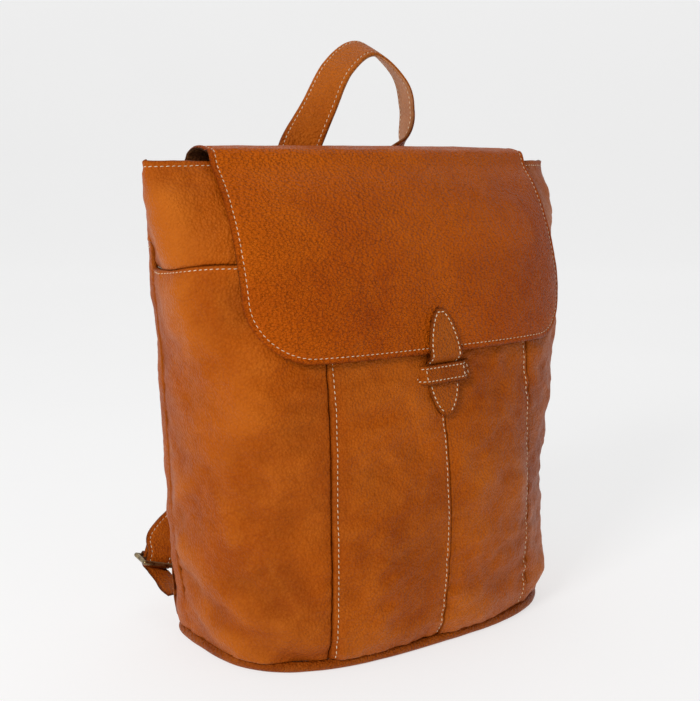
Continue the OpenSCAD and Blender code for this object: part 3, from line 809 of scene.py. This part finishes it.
# ---------------------------------------------------------------- flap
def flap_stand(z):
    return 2.4 + 3.2 * ease((BODY_TOP - 4 - z) / 130)


def flap_width(z):
    q = FLAP_Z + FLAP_CORNER - z
    rounded = FLAP_HALF - FLAP_CORNER + np.sqrt(np.maximum(FLAP_CORNER**2 - q * q, 0))
    return np.where(q <= 0, FLAP_HALF, rounded)


class Surface:
    """A grid of points and normals that can be read between its rows and columns."""

    def __init__(self, points, normals):
        self.points, self.normals = points, normals

    def at(self, row, col):
        rows, cols = self.points.shape[:2]
        r0 = np.clip(np.floor(row).astype(int), 0, rows - 2)
        c0 = np.clip(np.floor(col).astype(int), 0, cols - 2)
        fr, fc = (row - r0)[:, None], (col - c0)[:, None]
        out = []
        for grid in (self.points, self.normals):
            low = grid[r0, c0] * (1 - fc) + grid[r0, c0 + 1] * fc
            high = grid[r0 + 1, c0] * (1 - fc) + grid[r0 + 1, c0 + 1] * fc
            out.append(low * (1 - fr) + high * fr)
        return out


def flap_rows(u):
    """The flap's middle surface: rows from the hem on the back, over the rim and down the front."""
    x = u * FLAP_HALF
    rows = [np.stack([x, back_y(x, z) + 1.9, 0 * x + z], -1) for z in (350, 355, 361, 366)]
    rows.append(np.stack([x, np.maximum(back_y(x, 369), 13) + 0.2, 0 * x + 371.4], -1))
    stood = front_y(x, BODY_TOP - 4) - flap_stand(BODY_TOP - 4.0)
    for share in (0.0, 0.2, 0.4, 0.6, 0.78, 0.92):
        lift = HINGE_Z - 0.8 + 4.6 * math.sin(math.pi * share**0.8 * 0.98)
        y = HINGE_Y + (stood - HINGE_Y) * share - 0.45 * share
        rows.append(np.stack([x, y, 0 * x + lift + 1.3 * (1 - 0.55 * share**6)], -1))
    corner = FLAP_Z + FLAP_CORNER
    heights = list(np.linspace(BODY_TOP - 5, corner, 10)) + [
        corner - FLAP_CORNER * math.sin(math.radians(a)) for a in np.linspace(10, 90, 9)]
    for z in heights:
        w = u * flap_width(z)
        wall_z = min(z, BODY_TOP - 4)
        rows.append(np.stack([w, front_y(w, wall_z) - flap_stand(wall_z) - 1.3, 0 * w + z], -1))
    return np.stack(rows)


flap_u = spread(2 * FLAP_HALF, 1.6, 7.0, 0.55) / FLAP_HALF - 1
flap_mid = smooth_line(flap_rows(flap_u))
middle = len(flap_u) // 2
flap_v = arc_length(flap_mid[:, middle])
flap_n = grid_normals(flap_mid)
flap_n *= np.where(flap_n[-20, middle, 1] > 0, -1, 1)
fx, fv = flap_mid[..., 0], flap_v[:, None] + 0 * flap_mid[..., 0]
to_foot = flap_v[-1] - fv
corner_x, corner_v = np.abs(fx) - (FLAP_HALF - FLAP_CORNER), FLAP_CORNER - to_foot
in_corner = (corner_x > 0) & (corner_v > 0)
flap_edge = np.minimum(FLAP_HALF - np.abs(fx), to_foot)
flap_edge = np.where(in_corner, FLAP_CORNER - np.hypot(corner_x, corner_v), flap_edge)
flap_edge = np.maximum(np.minimum(flap_edge, fv), 0)
under_tab = bell(fx, 26) * bell(np.maximum(to_foot - 38, 0), 14)
flap_grain = 1.1 * rough_noise(fx / 70, fv / 45, 301) + 0.10 * rough_noise(fx / 6, fv / 3.2, 311)
flap_relief = (
    0.35 * bell(flap_edge - 1.8, 1.4) - 0.55 * bell(flap_edge - FLAP_SEAM, 0.9)
    + 0.45 * (1 - np.exp(-np.maximum(flap_edge - FLAP_SEAM, 0) / 9))
    + flap_grain * (1 - 0.9 * under_tab)
    + 0.22 * puckers(fx + fv, flap_edge - FLAP_SEAM, 321, 5.0, 9.0) * (flap_edge > FLAP_SEAM))
roll = edge_roll(flap_edge, 1.5)
flap_out = flap_mid + flap_n * (1.4 + flap_relief - roll)[..., None]
flap_in = flap_mid - flap_n * (1.3 - roll - 0.2 * rough_noise(fx / 60, fv / 50, 331))[..., None]
flap_pull = np.clip(0.25 + 0.35 * noise(fx / 70, fv / 50, 341) + 0.3 * bell(fv - 95, 16), 0, 1)
flap_look = worn(flap_edge, 2.2, 0.85, flap_pull * (flap_edge > 3))
flap = shell("flap", flap_out, flap_in, [flap_leather, suede], flap_look)
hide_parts("flap_outer", "flap_lining", "flap_hem")
flap_face = Surface(flap_out, flap_n)


def flap_run(x, v):
    """A run of thread on the flap through flat positions: across, and along from the hem."""
    x, v = np.asarray(x, float), np.asarray(v, float)
    half = np.interp(v, flap_v, flap_mid[:, -1, 0])
    return flap_face.at(index_of(v, flap_v), index_of(x / half, flap_u))


def flap_outline(inset, top):
    """Flat positions of a line at a distance inside the flap's edge, from left round the foot to right."""
    foot, r = flap_v[-1] - inset, FLAP_CORNER - inset
    x0, v0 = FLAP_HALF - FLAP_CORNER, flap_v[-1] - FLAP_CORNER
    down = np.arange(top, v0, 1.0)
    turn = np.linspace(0, math.pi / 2, int(r * 1.6))
    across = np.arange(-x0 + 1, x0, 1.0)
    ends = 0 * down + FLAP_HALF - inset
    x = np.concatenate([-ends, -x0 - r * np.cos(turn), across, x0 + r * np.sin(turn), ends])
    v = np.concatenate([down, v0 + r * np.sin(turn), 0 * across + foot, v0 + r * np.cos(turn), down[::-1]])
    return x, v


hem_x = np.arange(-FLAP_HALF + 4, FLAP_HALF - 4, 1.0)
flap_runs = [flap_run(*flap_outline(FLAP_SEAM, 4.0))] + [flap_run(hem_x, 0 * hem_x + v) for v in (4.0, 15.0)]
flap_thread = stitches("thread_flap", flap_runs, cream)
for piece in (flap, flap_thread):
    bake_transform(piece)


# ---------------------------------------------------------------- closure tab and keeper
TAB_HALF, TAB_TOP, TAB_TIP = 15.5, 262.0, 182.0
KEEPER_HALF, KEEPER_RISE, KEEPER_Z = 27.0, 7.0, 214.0


def tab_half(z):
    up, down = np.minimum((TAB_TOP - z) / 30, 1), np.minimum((z - TAB_TIP) / 26, 1)
    return 0.4 + (TAB_HALF - 0.4) * np.minimum(np.sqrt(1 - (1 - up) ** 1.4), np.sqrt(1 - (1 - down) ** 1.65))


def tab_y(x, z):
    return front_y(x, z) - 1.3 - (flap_stand(z) + 2.2) * ease((z - KEEPER_Z - 6) / 8)


def leaf(name, z, half, depth, thick, seed, node):
    """Long leather leaf on the flap: a sheet whose half width follows its height, stitched all round."""
    u = np.concatenate([np.linspace(-1, -0.6, 12), np.linspace(-0.6, 0.6, 16)[1:-1], np.linspace(0.6, 1, 12)])
    xx, zz = u[None] * half[:, None], z[:, None] + 0 * u[None]
    base = np.stack([xx, depth(xx, zz), zz], -1)
    outline = np.stack([np.concatenate([half, -half[::-1]]), np.concatenate([z, z[::-1]])], -1)
    flat = np.stack([xx, zz], -1).reshape(-1, 1, 2)
    edge = np.min(np.linalg.norm(flat - outline[None], axis=-1), axis=1).reshape(xx.shape)
    n = facing(base, -1)
    roll = edge_roll(edge, thick / 2)
    inside = edge - TAB_SEAM
    d = thick / 2 - roll - 0.35 * bell(inside, 0.8) + 0.12 * (1 - np.exp(-np.maximum(inside, 0) / 4))
    d = d + 0.08 * rough_noise(xx / 5, zz / 4, seed)
    top, low = base + n * d[..., None], base - n * (thick / 2 - roll)[..., None]
    look = worn(edge, 1.8, pull_and_painted_light=0.3 * (edge > 3))
    place_on(shell(name, top, low, [trim_leather], look), node, "flap")
    return Surface(top, n), u


tab_z = np.concatenate([
    TAB_TIP + 26 * np.linspace(0, 1, 26) ** 1.7, np.linspace(208, 232, 20)[1:-1],
    TAB_TOP - 30 * np.linspace(1, 0, 28) ** 1.7])
tab_face, tab_u = leaf(
    "closure_tab_leather", tab_z, tab_half(tab_z), lambda x, z: tab_y(x, z) - 1.0, 2.3, 501, "closure_tab")


def tab_outline(inset):
    """Runs down both sides of the tab, a little inside its edge."""
    z = np.linspace(TAB_TIP + inset * 1.15, TAB_TOP - inset * 1.15, 110)
    half = np.maximum(tab_half(z) - inset * np.hypot(1, np.gradient(tab_half(z), z)), 0)
    x, zz = np.concatenate([half, -half[::-1]]), np.concatenate([z, z[::-1]])
    return tab_face.at(index_of(zz, tab_z), index_of(x / tab_half(zz), tab_u))


sew("thread_tab", [tab_outline(TAB_SEAM)], "flap", 3.8, 2.8, 0.42)


def keeper_lift(x):
    return 1.9 + 3.9 * ease((KEEPER_HALF - 4 - np.abs(x)) / 6)


keeper_x = spread(2 * KEEPER_HALF, 1.2, 4.0) - KEEPER_HALF
keeper_h = spread(2 * KEEPER_RISE, 0.9, 3.0) - KEEPER_RISE
kx, kh = np.meshgrid(keeper_x, keeper_h)
keeper_y = front_y(kx, KEEPER_Z) - keeper_lift(kx) + 0.28 * kh
keeper_mid = np.stack([kx, keeper_y, KEEPER_Z + kh + 0.5 * np.sin(kx / 18)], -1)
keeper_n = facing(keeper_mid, -1)
keeper_edge = np.minimum(KEEPER_HALF - np.abs(kx), KEEPER_RISE - np.abs(kh))
keeper_d = 1.1 - edge_roll(keeper_edge, 1.1) - 0.3 * bell(keeper_edge - KEEPER_SEAM, 0.7)
keeper_out = keeper_mid + keeper_n * keeper_d[..., None]
keeper_in = keeper_mid - keeper_n * (1.1 - edge_roll(keeper_edge, 1.1))[..., None]
keeper = shell("keeper_leather", keeper_out, keeper_in, [trim_leather], worn(keeper_edge, 1.6))
place_on(keeper, "keeper_loop")
keeper_face = Surface(keeper_out, keeper_n)


def keeper_run(x, h):
    x, h = np.broadcast_arrays(np.asarray(x, float), np.asarray(h, float))
    return keeper_face.at(index_of(h, keeper_h), index_of(x, keeper_x))


outer, upper = KEEPER_HALF - KEEPER_SEAM, KEEPER_RISE - KEEPER_SEAM
inner = outer - 7.0
level, rise = np.arange(-outer, outer, 1.0), np.arange(-upper, upper, 0.8)
keeper_runs = [keeper_run(level, h) for h in (upper, -upper)]
keeper_runs += [keeper_run(x, rise) for x in (-outer, -inner, inner, outer)]
sew("thread_keeper", keeper_runs, "bag", 3.4, 2.5, 0.40)


# ---------------------------------------------------------------- handle and straps
def ribbon(name, path, side, half, thick, slots, seed, channel, wrinkle):
    """Leather strip along a path: rounded edges, a sewn channel along both sides and soft cross creases."""
    t = unit(np.gradient(path, axis=0))
    e = unit(side - np.sum(side * t, -1, keepdims=True) * t)
    n = np.cross(t, e)
    along = arc_length(path)
    widest = float(np.max(half))
    u = spread(2 * widest, 1.4, 5.0, 0.5) / widest - 1
    across = u[None] * half[:, None]
    base = path[:, None] + e[:, None] * across[..., None]
    ends = np.minimum(along, along[-1] - along)[:, None]
    edge = np.maximum(np.minimum(half[:, None] - np.abs(across), ends + 0 * across), 0)
    roll = edge_roll(edge, thick / 2)
    crease = wrinkle * rough_noise(along[:, None] / 7 + across / 30, across / 16, seed)
    crease = crease + 2 * wrinkle * noise(along[:, None] / 45, across / 50, seed + 4)
    groove = 0.35 * bell(edge - channel, 0.9) - 0.15 * (1 - np.exp(-np.maximum(edge - channel, 0) / 5))
    grids = []
    for sign in (1, -1):
        grids.append(base + n[:, None] * (sign * (thick / 2 - roll - groove) + crease)[..., None])
    look = worn(edge, 1.8, pull_and_painted_light=np.clip(0.3 + crease, 0, 1) * (edge > 2))
    obj = shell(name, grids[0], grids[1], slots, look)
    faces = [Surface(grids[0], n[:, None] + 0 * base), Surface(grids[1], -n[:, None] + 0 * base)]
    return obj, faces, u, along


def ribbon_runs(face, u, half, along, distance):
    """Runs along both sides of a ribbon's face."""
    at = np.arange(4.0, along[-1] - 4.0, 1.0)
    wide = np.interp(at, along, half)
    return [face.at(index_of(at, along), index_of(s * (wide - distance) / wide, u)) for s in (-1, 1)]


HANDLE_LEFT, HANDLE_RIGHT, HANDLE_HALF = -47, 54, 16.0
handle_rows = smooth_line([
    [HANDLE_LEFT, 28.5, 347, 0], [HANDLE_LEFT, 30.2, 358, 0], [HANDLE_LEFT, 29.8, 369.5, 4],
    [-43, 29.4, 380, 26], [-27, 27.3, 409, 62], [-6, 28, 443, 83], [24, 30.5, 459, 94], [56, 29.5, 438, 102],
    [65, 29, 412, 108], [62, 29, 388, 122], [HANDLE_RIGHT, 29.8, 369.5, 172],
    [HANDLE_RIGHT, 30.2, 358, 180], [HANDLE_RIGHT, 28.5, 347, 180]], 18)
for row in handle_rows:
    if row[2] < 366:
        row[1] = back_y(row[0], row[2]) + 5.2
turned = np.radians(handle_rows[:, 3])
handle_side = unit(np.stack([np.cos(turned), -np.sin(turned), -0.42 * np.sin(turned) ** 6], -1))
handle_half = np.full(len(handle_rows), HANDLE_HALF)
handle, handle_faces, handle_u, handle_s = ribbon(
    "handle_leather", handle_rows[:, :3], handle_side, handle_half, 3.5, [pale_leather, trim_leather],
    601, HANDLE_SEAM, 0.10)
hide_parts("handle_outer", "handle_lining", "handle_feet")
# Painted highlight: the handle's leather is made lighter the higher it rises above 395 mm, for the light from
# above.
painted_top_light = handle.data.attributes["pull_and_painted_light"].data
for vertex, point in zip(handle.data.vertices, painted_top_light):
    point.value = max(point.value, min(1.0, (vertex.co.z / MM - 395) / 40))
handle_runs = sum([ribbon_runs(f, handle_u, handle_half, handle_s, HANDLE_SEAM) for f in handle_faces], [])
for face in handle_faces:
    for at in (4.0, 18.0, handle_s[-1] - 18.0, handle_s[-1] - 4.0):
        cols = np.arange(8.0, len(handle_u) - 8.0, 0.6)
        handle_runs.append(face.at(0 * cols + index_of(at, handle_s), cols))
handle_thread = stitches("thread_handle", handle_runs, cream)
for piece in (handle, handle_thread):
    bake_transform(piece)

STRAP_END, WIRE_R, BAR_STEP, LEAF_LOW, LEAF_HIGH = 11.5, 1.9, 11.0, 11, 51
BUCKLE_AT, BUCKLE_TIP, BUCKLE_YAW = np.array([-141, 98.4, 42.0]), math.radians(16), math.radians(-8)
ct, st, cy, sy = math.cos(BUCKLE_TIP), math.sin(BUCKLE_TIP), math.cos(BUCKLE_YAW), math.sin(BUCKLE_YAW)
BUCKLE_AXES = np.array([[cy * ct, sy * ct, -st], [-sy, cy, 0], [cy * st, sy * st, ct]])


def at_buckle(across, up):
    return BUCKLE_AT + across * BUCKLE_AXES[1] + up * BUCKLE_AXES[2]


def round_bar(across, radius, start, stop, n):
    turns = np.radians(np.linspace(start, stop, n))
    return [at_buckle(across + radius * math.cos(a), radius * math.sin(a)) for a in turns]


strap_rows = smooth_line([
    [-36, 45.5, 337, 0, 17], [-36, 47, 329, 0, 17], [-39, 60, 316, 0, 17.5], [-43, 74, 298, 0, 18],
    [-50, 89, 268, 0, 19.5], [-58, 102, 230, 0, 20], [-65, 112, 190, 0, 20], [-72, 119, 152, 0, 20],
    [-79, 122, 120, 5, 20.5], [-86, 121, 98, 14, 19], [-95, 117, 82, 28, 17], [-109, 111, 70, 38, 15.5],
    [-124, 104.5, 60, 36, 17.5], [-134, 99, 53, 26, 17.5], [*at_buckle(-WIRE_R - 2.5, 6), 18, STRAP_END]], 9)
lean = np.radians(strap_rows[:, 3])
strap_side = unit(np.stack([np.cos(lean), -0.43 * np.sin(lean), -0.9 * np.sin(lean)], -1))
strap_line = strap_rows[:, :3]
strap_back = unit(np.cross(strap_side, unit(np.gradient(strap_line, axis=0))))
bend = np.array(round_bar(0, WIRE_R + 2.2, 185, 355, 22) + [at_buckle(WIRE_R + 2.4, 3.2)])
back_part = slice(-14, -45, -1)
doubled = strap_line[back_part] + 4.2 * strap_back[back_part]
strap_path = np.concatenate([strap_line, bend, doubled])
strap_sides = np.concatenate([strap_side, np.repeat(BUCKLE_AXES[:1], len(bend), 0), strap_side[back_part]])
strap_half = np.concatenate([strap_rows[:, 4], np.full(len(bend), STRAP_END), strap_rows[back_part, 4] - 2.0])
anchor_root = smooth_line([
    [-143, 59, 26], [-144, 65, 27], [-144, 72, 28.2], [-143, 80.5, 31], at_buckle(-7, -6.6)], 8)
anchor_wrap = [at_buckle(4, -6.2), at_buckle(8.4, -4.6)] + round_bar(BAR_STEP, WIRE_R + 1.3, -70, 200, 24)
anchor_path = np.concatenate([anchor_root, anchor_wrap])
fade = np.clip(1 - np.arange(len(anchor_path)) / len(anchor_root), 0, 1)[:, None]
anchor_side = unit(BUCKLE_AXES[0] + fade * np.array([-0.1, 0.55, 0.25]))
anchor_half = np.full(len(anchor_path), STRAP_END - 1.5)


def flip(points, mirror):
    return points * [-1, 1, 1] if mirror else points


def corner_leaf(name, mirror, node):
    """Leaf of leather sewn on the bag's corner over the root of the strip."""
    low_part = LEAF_LOW + 12 * np.linspace(0, 1, 16) ** 1.5
    z = np.concatenate([low_part, LEAF_HIGH - 28 * np.linspace(1, 0, 24)[1:] ** 1.4])
    half = 0.6 + 7.4 * np.sin(np.pi * (z - 10) / 43) ** 0.7
    u = np.linspace(-1, 1, 30)
    points = wall(150 + u[None] * half[:, None], z[:, None] + 0 * u[None])
    n = outward(grid_normals(points), points)
    wide = np.linalg.norm(points[:, -1] - points[:, 0], axis=-1)[:, None] / 2
    edge = np.minimum(wide * (1 - np.abs(u[None])), np.minimum(z - LEAF_LOW, LEAF_HIGH - z)[:, None] + 0.3)
    roll = edge_roll(edge, 1.2)
    d = 3.4 - roll - 0.3 * bell(edge - LEAF_SEAM, 0.7) + 0.5 * bell(z[:, None] - 27, 7)
    top, low = flip(points + n * d[..., None], mirror), flip(points + n * (1.2 + roll)[..., None], mirror)
    obj = shell(name, top, low, [trim_leather], worn(edge, 1.6))
    place_on(obj, node)
    face = Surface(top, flip(n, mirror))
    inner = np.clip(1 - LEAF_SEAM / wide[:, 0], 0, 1)
    rows = index_of(np.linspace(14, 48, 60), z)
    return [face.at(rows, index_of(s * np.interp(rows, np.arange(len(z)), inner), u)) for s in (-1, 1)]


corner_runs = []
for side, mirror in (("left", False), ("right", True)):
    x_sign = -1 if mirror else 1
    strap, strap_faces, strap_u, strap_s = ribbon(
        "strap_leather_" + side, flip(strap_path, mirror), flip(strap_sides, mirror) * x_sign,
        strap_half, 3.3, [body_leather, body_leather], 701 + mirror, STRAP_SEAM, 0.22)
    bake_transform(strap)
    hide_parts("strap_" + side, "strap_lining_" + side)
    runs = sum([ribbon_runs(f, strap_u, strap_half, strap_s, STRAP_SEAM) for f in strap_faces], [])
    thread = stitches("thread_strap_" + side, runs, cream)
    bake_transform(thread)
    loop = ribbon(
        "anchor_strip_" + side, flip(anchor_path, mirror), flip(anchor_side, mirror), anchor_half, 1.9,
        [trim_leather], 721 + mirror, 2.2, 0.05)[0]
    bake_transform(loop)
    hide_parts("anchor_loop_" + side)
    corner_runs += corner_leaf("corner_leaf_" + side, mirror, "anchor_tab_" + side)
sew("thread_corners", corner_runs, "bag", 3.8, 2.8, 0.42)

patch_face, patch_n = wall_patch(
    "strap_patch_leather", 66.0, 114.0, 331, 348, -1.9, 2.4, [trim_leather], "strap_patch", 0.0, 65, 1.2)[1:]
across_patch = np.arange(6.0, patch_face.shape[1] - 6.0, 0.8)
patch_surface = Surface(patch_face + 2.4 * patch_n, patch_n)
patch_rows = 0.16 * len(patch_face), 0.84 * len(patch_face)
sew("thread_patch", [patch_surface.at(0 * across_patch + row, across_patch) for row in patch_rows], "bag")


# ---------------------------------------------------------------- zips
LEAN = math.atan(float(back_depth(ZIP_Z - 6) - back_depth(ZIP_Z + 6)) / 12)
ZIP_POINT = (0, float(back_depth(ZIP_Z)) * MM, ZIP_Z * MM)
ZIP_MATRIX = Matrix.Translation(ZIP_POINT) @ Matrix.Rotation(LEAN, 4, "X")
for name, material, width in (
        ("zip_teeth", brass, 0.35), ("zip_slider", brass, 0.5), ("inner_zip_slider", brass, 0.4),
        ("buckle_left", brass, 0), ("buckle_right", brass, 0), ("base_board", board, 0.4)):
    obj = nodes[name]
    obj.data.materials.clear()
    obj.data.materials.append(material)
    if width:
        bevel = obj.modifiers.new("soft_edges", "BEVEL")
        bevel.width, bevel.segments, bevel.angle_limit = width * MM, 2, math.radians(40)
    obj.data.polygons.foreach_set("use_smooth", np.full(len(obj.data.polygons), width == 0))


def rounded_plate(name, width, length, thick, radius, materials):
    """Flat tab with rounded corners and soft edges, hanging down from the origin, in mm."""
    arc = np.radians(np.linspace(0, 90, 9))
    cx, cz = width / 2 - radius, length / 2 - radius
    outline = np.concatenate([
        np.stack([sx * cx + radius * np.cos(arc + a), sz * cz + radius * np.sin(arc + a)], -1)
        for sx, sz, a in ((1, 1, 0), (-1, 1, math.pi / 2), (-1, -1, math.pi), (1, -1, 1.5 * math.pi))])
    outline[:, 1] -= length / 2
    centre = np.array([0, -length / 2])
    rings = []
    for share in (0.02, 0.45, 0.8):
        rings.append(np.insert(centre + (outline - centre) * share, 1, thick / 2, axis=1))
    away = unit(outline - centre)
    profile = ((0.9, 0.5), (0.45, 0.46), (0.12, 0.3), (0.0, 0.0), (0.12, -0.3), (0.45, -0.46), (0.9, -0.5))
    for inset, height in profile:
        rings.append(np.insert(outline - away * inset * min(thick, 1.0), 1, thick * height, axis=1))
    for share in (0.8, 0.45, 0.02):
        rings.append(np.insert(centre + (outline - centre) * share, 1, -thick / 2, axis=1))
    k = len(outline)
    faces = grid_faces(len(rings), k, closed=True).tolist()
    faces += [list(range(k)), list(range((len(rings) - 1) * k, len(rings) * k))]
    count = len(rings) * k
    look = {"edge": np.full(count, 0.25), "pull_and_painted_light": np.zeros(count)}
    return new_object(name, np.concatenate(rings), faces, materials, look)


def ring_tube(name, p, radius, material):
    """Round wire along a closed loop of points in mm."""
    sides = 10
    t = unit(np.roll(p, -1, 0) - np.roll(p, 1, 0))
    e = unit(np.cross(t, [0.3, 1.0, 0.1]))
    f = np.cross(t, e)
    a = np.arange(sides) * 2 * math.pi / sides
    around = np.cos(a)[None, :, None] * e[:, None] + np.sin(a)[None, :, None] * f[:, None]
    rings = p[:, None] + radius * around
    grid = np.concatenate([rings, rings[:1]])
    faces = grid_faces(len(grid), sides, closed=True).tolist()
    obj = new_object(name, grid.reshape(-1, 3), faces, [material])
    clean(obj.data, weld=1e-6)
    return obj


def on_zip(obj, shift):
    obj.data.transform(ZIP_MATRIX @ Matrix.Translation(Vector(shift) * MM))
    return obj


PULL_X = -122
PULL_AT = (PULL_X, 3.1, -9)
turn = np.linspace(0, 2 * math.pi, 28, endpoint=False)
wire_line = np.stack([3.2 * np.cos(turn), 0.5 * np.sin(turn), -5.2 + 5.6 * np.sin(turn)], -1)
pull_tab = on_zip(rounded_plate("pull_tab", 10, 26, 2.2, 3.0, [trim_leather]), PULL_AT)
pull_wire = on_zip(ring_tube("pull_wire", wire_line, 0.8, brass), (PULL_X, 2.4, -0.4))
pull_down = np.arange(20.0)
pull_lines = [np.stack([x + 0 * pull_down, 1.15 + 0 * pull_down, -3 - pull_down], -1) for x in (-3, 3)]
pull_runs = [(line, np.tile([0, 1.0, 0], (len(line), 1))) for line in pull_lines]
pull_thread = on_zip(stitches("thread_pull", pull_runs, cream, 3.2, 2.3, 0.3), PULL_AT)
for piece in (pull_tab, pull_wire, pull_thread):
    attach(piece, "zip_puller")
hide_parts("zip_puller")

inner_teeth = []
for x in np.arange(-76.0, 76.5, 2.4):
    y = float(back_y(x, 289.0)) - 9.0
    tooth = np.array([[x, y, z] for z in (287.6, 288.4, 289.2, 290.4)])
    inner_teeth.append((tooth, np.tile([0, -1.0, 0], (len(tooth), 1))))
sew("inner_zip_teeth", inner_teeth, "bag", 2.5, 3.0, 0.7, material=brass)


# ---------------------------------------------------------------- floor, light and camera
def area_light(name, place, target, size, power):
    data = bpy.data.lights.new(name, "AREA")
    data.energy, data.size = power, size
    obj = bpy.data.objects.new(name, data)
    bpy.context.scene.collection.objects.link(obj)
    obj.location = place
    obj.rotation_euler = (Vector(target) - Vector(place)).to_track_quat("-Z", "Y").to_euler()
    return obj


floor_nodes = Nodes("floor")
floor_cloud = floor_nodes.ramp(floor_nodes.noise(2.0), 0.3, 0.7)
floor_tone = floor_nodes.mix(floor_cloud, rgb(0.36, 0.36, 0.36), rgb(0.37, 0.37, 0.37))
floor_nodes.set(Base_Color=floor_tone, Roughness=0.9, Specular_IOR_Level=0.1, Emission_Color=rgb(1, 1, 1),
                Emission_Strength=0.64)
CAMERA_AWAY, CAMERA_SIDE, CAMERA_UP, CAMERA_LENS = 0.96, 0.012, 0.37, 61.7
CAMERA_TURN, CAMERA_PITCH = math.radians(36), math.radians(9)
SWEEP_FROM, SWEEP_R = 3.0, 1.5
bends = np.radians(np.linspace(5, 90, 18))
curve = [(SWEEP_FROM + SWEEP_R * math.sin(a), SWEEP_R - SWEEP_R * math.cos(a)) for a in bends]
sweep = [(-6.0, 0.0), (SWEEP_FROM, 0.0), *curve, (SWEEP_FROM + SWEEP_R, 6.0)]
ahead = Vector((math.sin(CAMERA_TURN), math.cos(CAMERA_TURN), 0))
right = Vector((math.cos(CAMERA_TURN), -math.sin(CAMERA_TURN), 0))
floor_points = [ahead * d + right * w + Vector((0, 0, h)) for d, h in sweep for w in (-9.0, 9.0)]
floor_faces = grid_faces(len(sweep), 2).tolist()
floor = new_object("floor", np.array(floor_points) / MM, floor_faces, [floor_nodes.material])

world = bpy.data.worlds.new("studio")
world.use_nodes = True
world.node_tree.nodes["Background"].inputs["Color"].default_value = (1.0, 1.0, 1.0, 1)
world.node_tree.nodes["Background"].inputs["Strength"].default_value = 0.34
bpy.context.scene.world = world

focus = (0, 0, 0.2)
area_light("key", (-2.2, -1.0, 1.5), focus, 0.7, 38)
area_light("fill", (-1.7, -2.0, 1.2), focus, 0.9, 6)
area_light("top", (0.2, 0.4, 2.3), focus, 1.4, 4)

camera_data = bpy.data.cameras.new("camera")
camera_data.sensor_width = 36
camera_data.lens = CAMERA_LENS
camera_data.clip_end = 100
camera = bpy.data.objects.new("camera", camera_data)
bpy.context.scene.collection.objects.link(camera)
camera.location = ahead * -CAMERA_AWAY + right * -CAMERA_SIDE + Vector((0, 0, CAMERA_UP))
aim = ahead * math.cos(CAMERA_PITCH) + Vector((0, 0, -math.sin(CAMERA_PITCH)))
camera.rotation_euler = aim.to_track_quat("-Z", "Y").to_euler()
bpy.context.scene.camera = camera
bpy.context.scene.view_settings.view_transform = "Standard"
